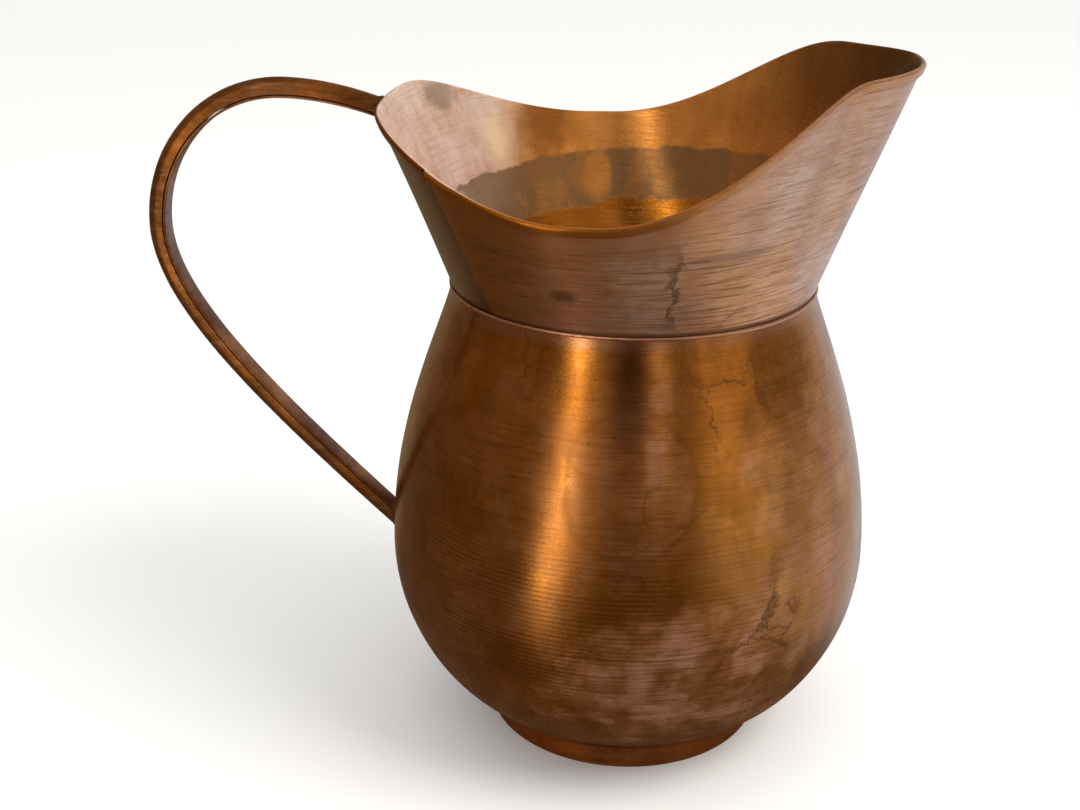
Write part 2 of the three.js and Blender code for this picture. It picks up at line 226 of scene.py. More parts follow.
def calc(tree, operation, *values):
    """Result of a Math node."""
    return node(tree, "ShaderNodeMath", dict(enumerate(values)), operation=operation).outputs[0]


def times(tree, *values):
    """Numbers multiplied together, from left to right."""
    return functools.reduce(lambda a, b: calc(tree, "MULTIPLY", a, b), values)


def plus(tree, a, b):
    """One number added to another."""
    return calc(tree, "ADD", a, b)


def minus(tree, a, b):
    """One number less another."""
    return calc(tree, "SUBTRACT", a, b)


def rest(tree, share):
    """What a share leaves of 1."""
    return minus(tree, 1.0, share)


def vector(tree, operation, *values):
    """Vector result of a Vector Math node."""
    return node(tree, "ShaderNodeVectorMath", dict(enumerate(values)), operation=operation).outputs[0]


def scaled(tree, value, factor):
    """A vector times a number."""
    return node(tree, "ShaderNodeVectorMath", {0: value, "Scale": factor}, operation="SCALE").outputs[0]


def combined(tree, x, y, z):
    """A vector from three numbers."""
    return node(tree, "ShaderNodeCombineXYZ", {0: x, 1: y, 2: z}).outputs[0]


def separated(tree, value):
    """The three numbers of a vector."""
    return node(tree, "ShaderNodeSeparateXYZ", {0: value}).outputs


def ramp(tree, value, low, high, to_low=0.0, to_high=1.0):
    """The value eased from one range to another and held at its ends."""
    inputs = {0: value, 1: low, 2: high, 3: to_low, 4: to_high}
    return node(tree, "ShaderNodeMapRange", inputs, interpolation_type="SMOOTHSTEP").outputs[0]


def noise(tree, place, scale, detail=2.0, roughness=0.5, distortion=0.0, w=0.0):
    """Noise about 0.5 at a place."""
    inputs = {
        "Vector": place, "W": w, "Scale": scale, "Detail": detail,
        "Roughness": roughness, "Distortion": distortion,
    }
    return node(tree, "ShaderNodeTexNoise", inputs, noise_dimensions="4D").outputs[0]


def blended(tree, share, a, b):
    """Colour a turned to colour b by a share."""
    return node(tree, "ShaderNodeMix", {0: share, 6: a, 7: b}, data_type="RGBA").outputs[2]


def waved(tree, value, spacing):
    """A wave between -1 and 1 with its crests that far apart."""
    return calc(tree, "SINE", times(tree, calc(tree, "DIVIDE", value, spacing), FULL_TURN))


def new_tree(name, kind, inputs, outputs):
    """A node group with named inputs [name, socket, default] and outputs [name, socket]."""
    tree = bpy.data.node_groups.new(name, kind)
    for label, socket, default in inputs:
        made = tree.interface.new_socket(label, in_out="INPUT", socket_type=socket)
        if default is not None:
            made.default_value = default
    for label, socket in outputs:
        tree.interface.new_socket(label, in_out="OUTPUT", socket_type=socket)
    return tree, tree.nodes.new("NodeGroupInput").outputs, tree.nodes.new("NodeGroupOutput").inputs


FLOAT, INTEGER, VECTOR = "NodeSocketFloat", "NodeSocketInt", "NodeSocketVector"
GEOMETRY, MATERIAL, OBJECT = "NodeSocketGeometry", "NodeSocketMaterial", "NodeSocketObject"


def sampled(tree, geometry, value, index, data_type="FLOAT_VECTOR"):
    """A value at one point of another geometry."""
    inputs = {0: geometry, 1: value, 2: index}
    return node(tree, "GeometryNodeSampleIndex", inputs, data_type=data_type).outputs[0]


def attribute(tree, name, data_type="FLOAT_VECTOR"):
    """A named attribute of the geometry that is being read."""
    return node(tree, "GeometryNodeInputNamedAttribute", {0: name}, data_type=data_type).outputs[0]


def sheet_grid(tree, columns, rows):
    """A grid with a point for each column and row, and each point's own column and row."""
    grid = node(tree, "GeometryNodeMeshGrid", {"Vertices X": columns, "Vertices Y": rows}).outputs[0]
    index = node(tree, "GeometryNodeInputIndex").outputs[0]
    column = calc(tree, "FLOOR", calc(tree, "DIVIDE", plus(tree, index, 0.5), rows))
    row = minus(tree, index, times(tree, column, rows))
    return grid, column, row


def sheet_end(tree, grid, place, name, value, material, result):
    """Moves the grid's points to their places, closes its seams and hands it on."""
    moved = node(tree, "GeometryNodeSetPosition", {"Geometry": grid, "Position": place}).outputs[0]
    data_type = "FLOAT" if value.type == "VALUE" else "FLOAT_VECTOR"
    kept = node(
        tree, "GeometryNodeStoreNamedAttribute", {"Geometry": moved, "Name": name}, data_type=data_type
    )
    tree.links.new(value, kept.inputs["Value"])
    inputs = {"Geometry": kept.outputs[0], "Distance": MERGE_DISTANCE}
    closed = node(tree, "GeometryNodeMergeByDistance", inputs)
    smooth = node(tree, "GeometryNodeSetShadeSmooth", {"Geometry": closed.outputs[0]})
    real = node(tree, "GeometryNodeRealizeInstances", {"Geometry": smooth.outputs[0]})
    painted = node(tree, "GeometryNodeSetMaterial", {"Geometry": real.outputs[0], "Material": material})
    tree.links.new(painted.outputs[0], result["Geometry"])


def spun_sheet_tree():
    """Turns an outline round the jug's axis, with the ridges and the waver of hand spinning."""
    tree, given, result = new_tree("Spun Sheet", "GeometryNodeTree", [
        ("Outline", GEOMETRY, None), ("Axis X", FLOAT, 0.0), ("Steps Round", INTEGER, 96),
        ("Outside Rows", INTEGER, 1), ("Low", FLOAT, 0.0), ("High", FLOAT, 1.0),
        ("Ridge Spacing", FLOAT, 0.003), ("Ridge Height", FLOAT, 0.0),
        ("Ridge Low", FLOAT, 0.0), ("Ridge High", FLOAT, 1.0),
        ("Unevenness", FLOAT, 0.0), ("Seed", FLOAT, 0.0), ("Material", MATERIAL, None),
    ], [("Geometry", GEOMETRY)])
    size = node(tree, "GeometryNodeAttributeDomainSize", {0: given["Outline"]})
    rows = size.outputs["Point Count"]
    columns = plus(tree, given["Steps Round"], 1)
    grid, column, row = sheet_grid(tree, columns, rows)
    position = node(tree, "GeometryNodeInputPosition").outputs[0]
    x, _, z = separated(tree, sampled(tree, given["Outline"], position, row))
    turn = times(tree, calc(tree, "DIVIDE", column, given["Steps Round"]), FULL_TURN)
    cosine, sine = calc(tree, "COSINE", turn), calc(tree, "SINE", turn)
    spot = combined(tree, cosine, sine, times(tree, z, 11.0))
    waver = minus(tree, noise(tree, spot, 1.3, w=given["Seed"]), 0.5)
    waver = times(tree, waver, 4.0, given["Unevenness"])
    patch = noise(tree, spot, 1.1, w=plus(tree, given["Seed"], 5.0))
    patch = ramp(tree, patch, 0.4, 0.62, 0.35, 1.0)
    band = ramp(tree, z, given["Ridge Low"], plus(tree, given["Ridge Low"], 20 * MM))
    band_top = ramp(tree, z, given["Ridge High"], minus(tree, given["Ridge High"], 30 * MM))
    patch = times(tree, patch, times(tree, band, band_top))
    outside = calc(tree, "LESS_THAN", row, given["Outside Rows"])
    wave = waved(tree, z, given["Ridge Spacing"])
    ridge = times(tree, wave, given["Ridge Height"], patch, outside)
    reach = 22 * MM  # the waver dies out over this height towards the neck and the foot
    low_fade = ramp(tree, minus(tree, z, given["Low"]), 0.0, reach)
    high_fade = ramp(tree, minus(tree, given["High"], z), 0.0, reach)
    fade = times(tree, low_fade, high_fade)
    radius = calc(tree, "MULTIPLY_ADD", plus(tree, waver, ridge), fade, x)
    place = combined(
        tree,
        calc(tree, "MULTIPLY_ADD", radius, cosine, given["Axis X"]),
        times(tree, radius, sine),
        z,
    )
    inside = rest(tree, outside)
    sheet_end(tree, grid, place, "inside", inside, given["Material"], result)
    return tree


def swept_bar_tree():
    """Carries a section along a path that says, at each point, which way is out and across."""
    tree, given, result = new_tree("Swept Bar", "GeometryNodeTree", [
        ("Path", GEOMETRY, None), ("Section", OBJECT, None), ("Lump Height", FLOAT, 0.0),
        ("Lump Scale", FLOAT, 300.0), ("Seed", FLOAT, 0.0), ("Material", MATERIAL, None),
    ], [("Geometry", GEOMETRY)])
    section = node(tree, "GeometryNodeObjectInfo", {"Object": given["Section"]}).outputs["Geometry"]
    rows = node(tree, "GeometryNodeAttributeDomainSize", {0: section}).outputs["Point Count"]
    columns = node(tree, "GeometryNodeAttributeDomainSize", {0: given["Path"]}).outputs["Point Count"]
    grid, column, row = sheet_grid(tree, columns, rows)
    position = node(tree, "GeometryNodeInputPosition").outputs[0]
    out, side, _ = separated(tree, sampled(tree, section, position, row))
    path = given["Path"]
    centre = sampled(tree, path, position, column)
    away = sampled(tree, path, attribute(tree, "away"), column)
    across = sampled(tree, path, attribute(tree, "across"), column)
    along = sampled(tree, path, attribute(tree, "along"), column)
    thick = sampled(tree, path, attribute(tree, "thick", "FLOAT"), column, "FLOAT")
    slant = sampled(tree, path, attribute(tree, "slant", "FLOAT"), column, "FLOAT")
    run = sampled(tree, path, attribute(tree, "run", "FLOAT"), column, "FLOAT")
    offset = vector(tree, "ADD", scaled(tree, away, out), scaled(tree, across, side))
    outwards = vector(tree, "NORMALIZE", offset)
    skew = scaled(tree, along, times(tree, slant, out))
    place = vector(tree, "ADD", centre, scaled(tree, vector(tree, "ADD", offset, skew), thick))
    lump = minus(tree, noise(tree, place, given["Lump Scale"], w=given["Seed"]), 0.5)
    lump = times(tree, lump, 3.0, given["Lump Height"], calc(tree, "MINIMUM", thick, 1.0))
    place = vector(tree, "ADD", place, scaled(tree, outwards, lump))
    sheet = combined(tree, run, side, out)
    sheet_end(tree, grid, place, "sheet", sheet, given["Material"], result)
    return tree


# ---- Making pieces --------------------------------------------------------------------------


def line_object(name, points, **attributes):
    """Points joined in order by edges, with a value for each point under each given name."""
    mesh = bpy.data.meshes.new(name)
    edges = [(i, i + 1) for i in range(len(points) - 1)]
    mesh.from_pydata([tuple(map(float, p)) for p in points], edges, [])
    for label, values in attributes.items():
        values = np.asarray(values, float)
        kind, field = ("FLOAT_VECTOR", "vector") if values.ndim == 2 else ("FLOAT", "value")
        mesh.attributes.new(label, kind, "POINT").data.foreach_set(field, values.ravel())
    made = bpy.data.objects.new(name, mesh)
    bpy.context.scene.collection.objects.link(made)
    return made


def grown(base, tree, values):
    """Lets a node tree grow the base into a piece and keeps the result as its plain mesh."""
    modifier = base.modifiers.new(tree.name, "NODES")
    modifier.node_group = tree
    for item in tree.interface.items_tree:
        if item.in_out == "INPUT" and item.name in values:
            modifier[item.identifier] = values[item.name]
    graph = bpy.context.evaluated_depsgraph_get()
    mesh = bpy.data.meshes.new_from_object(
        base.evaluated_get(graph), preserve_all_data_layers=True, depsgraph=graph
    )
    base.modifiers.remove(modifier)
    base.data = mesh
    mesh.name = base.name
    return base


def put_right(piece):
    """Closes open ends, turns every face outwards and smooths all but the sharp edges."""
    shape = bmesh.new()
    shape.from_mesh(piece.data)
    open_edges = [e for e in shape.edges if e.is_boundary]
    if open_edges:
        caps = bmesh.ops.holes_fill(shape, edges=open_edges, sides=0)["faces"]
        bmesh.ops.triangulate(shape, faces=caps)
    bmesh.ops.recalc_face_normals(shape, faces=shape.faces)
    if shape.calc_volume(signed=True) < 0:
        bmesh.ops.reverse_faces(shape, faces=shape.faces)
    shape.to_mesh(piece.data)
    shape.free()
    piece.data.shade_smooth()
    piece.data.set_sharp_from_angle(angle=SHARP_ANGLE)


def settle(piece, slot, *nodes):
    """Sets a finished piece on the frame in place of its CAD nodes."""
    put_right(piece)
    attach(piece, "root")
    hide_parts(*nodes)


def bezier(a, b, c, d, steps):
    """Points on a cubic curve, its start and end among them."""
    t = np.linspace(0, 1, steps + 1)[:, None]
    a, b, c, d = (np.asarray(p, float) for p in (a, b, c, d))
    return (1 - t) ** 3 * a + 3 * (1 - t) ** 2 * t * b + 3 * (1 - t) * t**2 * c + t**3 * d


def softened(corners, radius, steps=3):
    """A closed outline of 2-D corners with each corner rounded, and its first point repeated."""
    corners = [np.asarray(c, float) for c in corners]
    points = []
    for i, corner in enumerate(corners):
        before, after = corners[i - 1] - corner, corners[(i + 1) % len(corners)] - corner
        cut = min(radius, np.linalg.norm(before) * 0.45, np.linalg.norm(after) * 0.45)
        start = corner + before / np.linalg.norm(before) * cut
        end = corner + after / np.linalg.norm(after) * cut
        for t in np.linspace(0, 1, steps + 1):
            points.append((1 - t) ** 2 * start + 2 * t * (1 - t) * corner + t**2 * end)
    return np.array([*points, points[0]])


def upright(points):
    """2-D [radius, height] points set up in the XZ plane."""
    return [(r, 0.0, z) for r, z in points]


def eased(stations, degrees):
    """Values at angles from [angle, value] stations, level at every station."""
    angles, values = np.array(stations, float).T
    a = np.clip(np.abs(degrees), angles[0], angles[-1])
    following = np.clip(np.searchsorted(angles, a, side="right"), 1, len(angles) - 1)
    low, high = angles[following - 1], angles[following]
    share = 0.5 - 0.5 * np.cos(np.pi * (a - low) / (high - low))
    return values[following - 1] + (values[following] - values[following - 1]) * share


def waver(turn, up, seed):
    """Smooth unevenness between about -1 and 1, the same each run."""
    draw = np.random.default_rng(seed)
    total = np.zeros(np.broadcast(turn, up).shape)
    waves = 8
    for _ in range(waves):
        rounds, climb, phase = draw.integers(2, 9), draw.uniform(-60, 60), draw.uniform(0, FULL_TURN)
        total += np.sin(rounds * turn + climb * up + phase)
    return total * 2 / waves


def belly_outline(shape, inwards, lower_steps, upper_steps):
    """The belly's outline from the bottom's edge up to the neck, moved inwards by an amount."""
    low = BELLY_LOW.z
    lower = bezier(
        (UNDERSIDE_RADIUS, low), (UNDERSIDE_RADIUS + UNDERSIDE_PULL, low),
        (shape.belly_radius, WIDEST_HEIGHT - LOWER_PULL), (shape.belly_radius, WIDEST_HEIGHT),
        lower_steps,
    )
    upper = bezier(
        (shape.belly_radius, WIDEST_HEIGHT), (shape.belly_radius, WIDEST_HEIGHT + UPPER_PULL),
        (shape.neck_radius + NECK_LEAN * NECK_PULL, shape.neck_height - NECK_PULL),
        (shape.neck_radius, shape.neck_height), upper_steps,
    )
    points = np.vstack([lower, upper[1:]])
    run = np.gradient(points, axis=0)
    run /= np.linalg.norm(run, axis=1)[:, None]
    return points - inwards * np.column_stack([run[:, 1], -run[:, 0]])


def spaced(points, fine, coarse, low, high):
    """The outline walked in fine steps between two heights and in coarse steps elsewhere."""
    passed = np.concatenate([[0], np.cumsum(np.linalg.norm(np.diff(points, axis=0), axis=1))])
    stops = [0.0]
    while stops[-1] < passed[-1]:
        height = np.interp(stops[-1], passed, points[:, 1])
        stops.append(stops[-1] + (fine if low < height < high else coarse))
    stops = np.array(stops) * passed[-1] / stops[-1]
    return np.column_stack([np.interp(stops, passed, points[:, i]) for i in (0, 1)])


class CollarSheet:
    """The ruled sheet of the collar: straight lines from the neck up to the rim."""

    def __init__(self, shape, degrees):
        self.turn = np.radians(degrees)
        self.neck = shape.neck_radius
        self.base = shape.neck_height + GAP
        rise = [
            (0, shape.lip_rise), LIP_SHOULDER, (SIDE_FROM, shape.side_rise),
            (SIDE_TO, shape.side_rise), (BACK_FROM, shape.back_rise), (180, shape.back_rise),
        ]
        reach = [
            (0, shape.lip_reach), (LIP_FLAT, shape.lip_reach), (PINCH_AT, shape.pinch_radius),
            (CHEEK_AT, shape.cheek_radius), (180, shape.back_radius),
        ]
        run = np.array([
            eased(reach, degrees) - self.neck,
            shape.neck_height + eased(rise, degrees) - self.base,
        ])
        self.length = np.hypot(*run)
        self.run = run / self.length

    def at(self, radius, height):
        """Points at radii and heights over the sheet's angles."""
        spread = np.ones_like(self.turn)
        x, y = radius * np.cos(self.turn), radius * np.sin(self.turn)
        return np.column_stack([AXIS_X + x, y, height * spread])

    def point(self, along, out):
        """Points that far up each line and that far outside it."""
        return self.at(
            self.neck + self.run[0] * along + self.run[1] * out,
            self.base + self.run[1] * along - self.run[0] * out,
        )


def lap_step(shape, degrees):
    """How far the collar's outside stands proud where its ends overlap."""
    along = np.radians(degrees - LAP_ANGLE) * shape.cheek_radius
    proud = shape.lap_thickness * np.clip(2 - along / LAP_WIDTH, 0, 1)
    return np.where((along > 0) & (along < 2 * LAP_WIDTH), proud, 0.0)


def collar_mesh(shape):
    """The wrapped sheet with its folded hem, lap and spigot: its rings, and at each point whether
    it is inside, how far it lies below the rim and how far past the lap."""
    degrees = np.linspace(-180, 180, 420, endpoint=False)
    degrees = degrees[np.abs(degrees - LAP_ANGLE) > 0.35]
    degrees = np.sort(np.concatenate([degrees, LAP_ANGLE + np.array([-0.06, 0.02, 0.14, 0.3])]))
    sheet = CollarSheet(shape, degrees)
    wall, hem = shape.collar_wall, shape.hem_thickness
    lap = lap_step(shape, degrees)
    spigot = shape.neck_radius - shape.belly_wall - GAP
    fold = (wall + hem) / 2
    top = sheet.length - fold + 0.12 * MM * waver(sheet.turn, 0.0, 11)
    hem_low = top + fold - shape.hem_width - 0.25 * MM * waver(sheet.turn * 3, 0.0, 12)
    rings = [sheet.at(spigot, shape.neck_height - SPIGOT_DEPTH), sheet.at(spigot, sheet.base)]
    inside, fall = [1, 1], [sheet.length, sheet.length]

    def add(along, out, within):
        share = np.clip(along / sheet.length, 0, 1)
        sway = 0.55 * MM * share * waver(sheet.turn, along, 3)
        rings.append(sheet.point(along, out + sway))
        inside.append(within)
        fall.append(top + fold - along)

    for share in np.linspace(0, 1, 64):
        along = share * hem_low
        add(along, lap * np.clip(along / LAP_DRESS, 0, 1), 0)
    for rise, out in ((0.03, 0.35), (0.1, 0.8), (0.3, 1.0), (0.9, 1.04)):
        add(hem_low + rise * MM, lap + hem * out, 0)
    for share in (0.5, 1.0):
        add(hem_low + share * (top - hem_low), lap + hem, 0)
    for turn in np.linspace(0, np.pi, 11)[1:-1]:
        out = lap * (1 - turn / np.pi) + hem - fold + fold * np.cos(turn)
        add(top + fold * np.sin(turn), out, turn > 1.6)
    for share in np.linspace(1, 0, 60):
        add(wall + share * (top - wall), -wall, 1)
    for height in (sheet.base + wall / 3, shape.neck_height - SPIGOT_DEPTH):
        rings.append(sheet.at(spigot - wall, height))
    inside += [1, 1]
    fall += [sheet.length, sheet.length]
    past_lap = np.radians(degrees - LAP_ANGLE) * shape.cheek_radius
    return rings, {
        "inside": np.repeat(np.array(inside, float), len(degrees)),
        "fall": np.concatenate(fall),
        "past_lap": np.tile(past_lap, len(rings)),
    }


def ring_mesh(name, rings, values):
    """A closed body from rings of points, each ring joined to the next and the last to the first."""
    count, around = len(rings), len(rings[0])
    here = np.arange(count)[:, None] * around
    there = (np.arange(count)[:, None] + 1) % count * around
    i = np.arange(around)[None, :]
    j = (i + 1) % around
    faces = np.stack([here + i, here + j, there + j, there + i], axis=-1).reshape(-1, 4)
    mesh = bpy.data.meshes.new(name)
    mesh.from_pydata(np.vstack(rings).tolist(), [], faces.tolist())
    for label, numbers in values.items():
        mesh.attributes.new(label, "FLOAT", "POINT").data.foreach_set("value", numbers)
    made = bpy.data.objects.new(name, mesh)
    bpy.context.scene.collection.objects.link(made)
    return made


def handle_line(shape):
    """The handle's centre line from the collar round to the belly, ends on the walls."""
    lean = math.atan2(shape.back_radius - shape.neck_radius, shape.back_rise)
    top_height = shape.neck_height + shape.back_rise - HANDLE_DROP
    share = (top_height - shape.neck_height - GAP) / (shape.back_rise - GAP)
    top = np.array([shape.neck_radius + (shape.back_radius - shape.neck_radius) * share, top_height])
    outline = belly_outline(shape, 0.0, 60, 60)
    foot = np.array([np.interp(HANDLE_FOOT_HEIGHT, outline[:, 1], outline[:, 0]), HANDLE_FOOT_HEIGHT])
    crown = np.array([CROWN_REACH, top_height + CROWN_RISE])
    middle = AXIS_X - (HANDLE_LOW.x + shape.handle_depth / 2)
    reach = np.array([middle, top_height - REACH_DROP])
    top_away = np.array([math.cos(HANDLE_TOP_ANGLE), math.sin(HANDLE_TOP_ANGLE)])
    foot_away = np.array([math.cos(HANDLE_FOOT_ANGLE), math.sin(HANDLE_FOOT_ANGLE)])
    pull = (CROWN_REACH - top[0]) / 3
    out_pull = QUARTER_TURN * (reach[0] - crown[0])
    drop_pull = QUARTER_TURN * (REACH_DROP + CROWN_RISE)
    run = np.linalg.norm(reach - foot)
    start, end = top + top_away * 0.8 * MM, foot + foot_away * 0.6 * MM
    points = np.vstack([
        bezier(start, top + top_away * pull, crown - (pull, 0), crown, 200),
        bezier(crown, crown + (out_pull, 0), reach + (0, drop_pull), reach, 200)[1:],
        bezier(reach, reach - (0, run / 5), foot + foot_away * run / 2, end, 300)[1:],
    ])
    return points, HANDLE_TOP_ANGLE + lean


def handle_path(shape, steps=230):
    """The handle's stations: place, frame, thickness and slant of the section at each."""
    points, top_slant = handle_line(shape)
    passed = np.concatenate([[0], np.cumsum(np.linalg.norm(np.diff(points, axis=0), axis=1))])
    at = np.linspace(0, passed[-1], steps + 1)
    out, height = np.interp(at, passed, points[:, 0]), np.interp(at, passed, points[:, 1])
    place = np.column_stack([AXIS_X - out, np.zeros_like(at), height])
    along = np.gradient(place, axis=0)
    along /= np.linalg.norm(along, axis=1)[:, None]
    away = np.column_stack([along[:, 2], np.zeros_like(at), -along[:, 0]])
    share = at / passed[-1]
    ends = np.where(share < 0.5, HANDLE_TOP_SCALE, HANDLE_FOOT_SCALE)
    thick = ends + (1 - ends) * np.sin(np.pi * share) ** 0.6
    reach = 15 * MM  # the slant of each end dies out over this length
    slant = math.tan(top_slant) * np.clip(1 - at / reach, 0, 1) ** 2
    slant += math.tan(HANDLE_FOOT_ANGLE) * np.clip(1 - (passed[-1] - at) / reach, 0, 1) ** 2
    across = np.tile([0.0, 1.0, 0.0], (len(at), 1))
    return place, {
        "away": away, "across": across, "along": along, "thick": thick, "slant": slant, "run": at,
    }


def round_back(centre, reach, half, steps=16):
    """Half an ellipse from one side of the handle over its back to the other."""
    turn = np.linspace(-np.pi / 2, np.pi / 2, steps + 1)
    return [(centre + reach * math.cos(t), half * math.sin(t)) for t in turn]


def shell_section(shape):
    """The round-backed shell, open towards the strip."""
    depth, half = shape.handle_depth, shape.handle_width / 2
    edge = -depth / 2 + STRIP_THICKNESS + GAP
    centre, lip = depth / 2 - HANDLE_BACK, 0.25 * MM
    outside = [(edge, -half + lip), (edge + lip, -half), *round_back(centre, HANDLE_BACK, half)]
    outside += [(edge + lip, half), (edge, half - lip)]
    inner = half - HANDLE_WALL
    within = round_back(centre, HANDLE_BACK - HANDLE_WALL, inner)[::-1]
    return [*outside, (edge, inner), *within, (edge, -inner), outside[0]]


def strip_section(shape):
    """The flat strip that closes the shell, its long edges a little rounded."""
    inner, half = -shape.handle_depth / 2, shape.handle_width / 2 + STRIP_OVERHANG
    outer = inner + STRIP_THICKNESS
    corners = [(inner, -half), (outer, -half), (outer, half), (inner, half)]
    return softened(corners, 0.35 * MM, 4)


def swept(name, section, places, material, lump, seed, **attributes):
    """A bar of one section carried along a path, with lumps of [height, scale]."""
    tree = shared("Swept Bar", swept_bar_tree)
    guide = line_object(name + "_section", [(out, side, 0.0) for out, side in section])
    piece = grown(line_object(name, places, **attributes), tree, {
        "Section": guide, "Lump Height": lump[0], "Lump Scale": lump[1], "Seed": seed,
        "Material": material,
    })
    bpy.data.objects.remove(guide)
    return piece


def turned(name, outline, values):
    """An outline turned round the jug's axis."""
    tree = shared("Spun Sheet", spun_sheet_tree)
    return grown(line_object(name, upright(outline)), tree, {"Axis X": AXIS_X, **values})


def ring_path(radius, height, thick, steps=300):
    """A level circle round the jug, its outside away from the axis and its side upwards."""
    turn = np.linspace(0, FULL_TURN, steps + 1)
    away = np.column_stack([np.cos(turn), np.sin(turn), np.zeros_like(turn)])
    places = away * radius + (AXIS_X, 0.0, height)
    flat = np.zeros(len(turn))
    return places, {
        "away": away, "across": np.tile([0.0, 0.0, 1.0], (len(turn), 1)),
        "along": np.column_stack([-away[:, 1], away[:, 0], flat]),
        "thick": thick(turn), "slant": flat, "run": turn * radius,
    }


def joint_path(shape, end):
    """A loop round one end of the handle where it meets the wall, and its frames."""
    places, frames = handle_path(shape)
    depth, half = shape.handle_depth, shape.handle_width / 2 + STRIP_OVERHANG / 2
    back = round_back(depth / 2 - HANDLE_BACK, HANDLE_BACK, half)
    corners = softened([(-depth / 2, -half), *back, (-depth / 2, half)], 0.6 * MM)[:-1]
    size = frames["thick"][end]
    out, side = (corners[:, :1] * size, corners[:, 1:] * size)
    away, across, along = (frames[k][end] for k in ("away", "across", "along"))
    spread = away * out + across * side + along * frames["slant"][end] * out
    off_wall = along if end == 0 else -along
    loop = places[end] + spread - off_wall * 0.35 * MM
    loop = np.vstack([loop, loop[:1]])
    radial = np.vstack([spread, spread[:1]])
    radial /= np.linalg.norm(radial, axis=1)[:, None]
    count = len(loop)
    return loop, {
        "away": radial, "across": np.tile(off_wall, (count, 1)), "along": np.gradient(loop, axis=0),
        "thick": np.ones(count), "slant": np.zeros(count), "run": np.linspace(0, 1, count),
    }


kit = {}  # node trees and materials that the pieces share, by name


def shared(name, make, *values):
    """A node tree or material, made the first time that a piece asks for it."""
    if name not in kit:
        kit[name] = make(*values)
    return kit[name]


# ---- Metal ----------------------------------------------------------------------------------


def turning_lines_group():
    """Fine level lines that the spinning tool and the polishing cloth left."""
    tree, given, result = new_tree("Turning Lines", "ShaderNodeTree", [
        ("Place", VECTOR, None), ("Spacing", FLOAT, 0.0012), ("Seed", FLOAT, 0.0),
    ], [("Height", FLOAT), ("Streak", FLOAT)])
    x, y, z = separated(tree, given["Place"])
    z = calc(tree, "DIVIDE", z, given["Spacing"])
    near = combined(tree, times(tree, x, 22.0), times(tree, y, 22.0), z)
    lines = noise(tree, near, 1.0, 3.0, 0.6, w=given["Seed"])
    far = combined(
        tree, times(tree, x, 45.0), times(tree, y, 45.0),
        times(tree, z, 0.33),
    )
    streak = noise(tree, far, 1.0, 4.0, 0.65, w=plus(tree, given["Seed"], 3.0))
    tree.links.new(lines, result["Height"])
    tree.links.new(ramp(tree, streak, 0.46, 0.64), result["Streak"])
    return tree


def groove_shade_group():
    """Painted shade in the grooves between the spinning ridges, where they break up the highlight, in
    patches between two heights.
    """
    tree, given, result = new_tree("Spinning Grooves", "ShaderNodeTree", [
        ("Place", VECTOR, None), ("Spacing", FLOAT, 0.002), ("Low", FLOAT, 0.0), ("High", FLOAT, 1.0),
        ("Seed", FLOAT, 0.0),
    ], [("Groove", FLOAT)])
    z = separated(tree, given["Place"])[2]
    wave = waved(tree, z, given["Spacing"])
    low = ramp(tree, z, given["Low"], plus(tree, given["Low"], 22 * MM))
    high = ramp(tree, z, given["High"], minus(tree, given["High"], 30 * MM))
    flat = vector(tree, "MULTIPLY", given["Place"], (1.0, 1.0, 2.5))
    patch = ramp(tree, noise(tree, flat, 26.0, 4.0, 0.6, w=given["Seed"]), 0.36, 0.6, 0.1, 1.0)
    groove_shade = times(tree, ramp(tree, wave, 0.35, -0.75), times(tree, low, high))
    tree.links.new(times(tree, groove_shade, patch), result["Groove"])
    return tree


def patina_group():
    """Soft clouds of oxide and the ragged specks inside them."""
    tree, given, result = new_tree("Patina Clouds", "ShaderNodeTree", [
        ("Place", VECTOR, None), ("Scale", FLOAT, 14.0), ("Cover", FLOAT, 0.5),
        ("Softness", FLOAT, 0.12), ("Seed", FLOAT, 0.0),
    ], [("Cloud", FLOAT), ("Speck", FLOAT)])
    cloud = noise(tree, given["Place"], given["Scale"], 7.0, 0.62, 0.35, given["Seed"])
    level = rest(tree, given["Cover"])
    low = minus(tree, level, given["Softness"])
    high = plus(tree, level, given["Softness"])
    speck = noise(
        tree, given["Place"], times(tree, given["Scale"], 14.0), 4.0, 0.7,
        w=plus(tree, given["Seed"], 7.0),
    )
    tree.links.new(ramp(tree, cloud, low, high), result["Cloud"])
    tree.links.new(ramp(tree, speck, 0.42, 0.68), result["Speck"])
    return tree


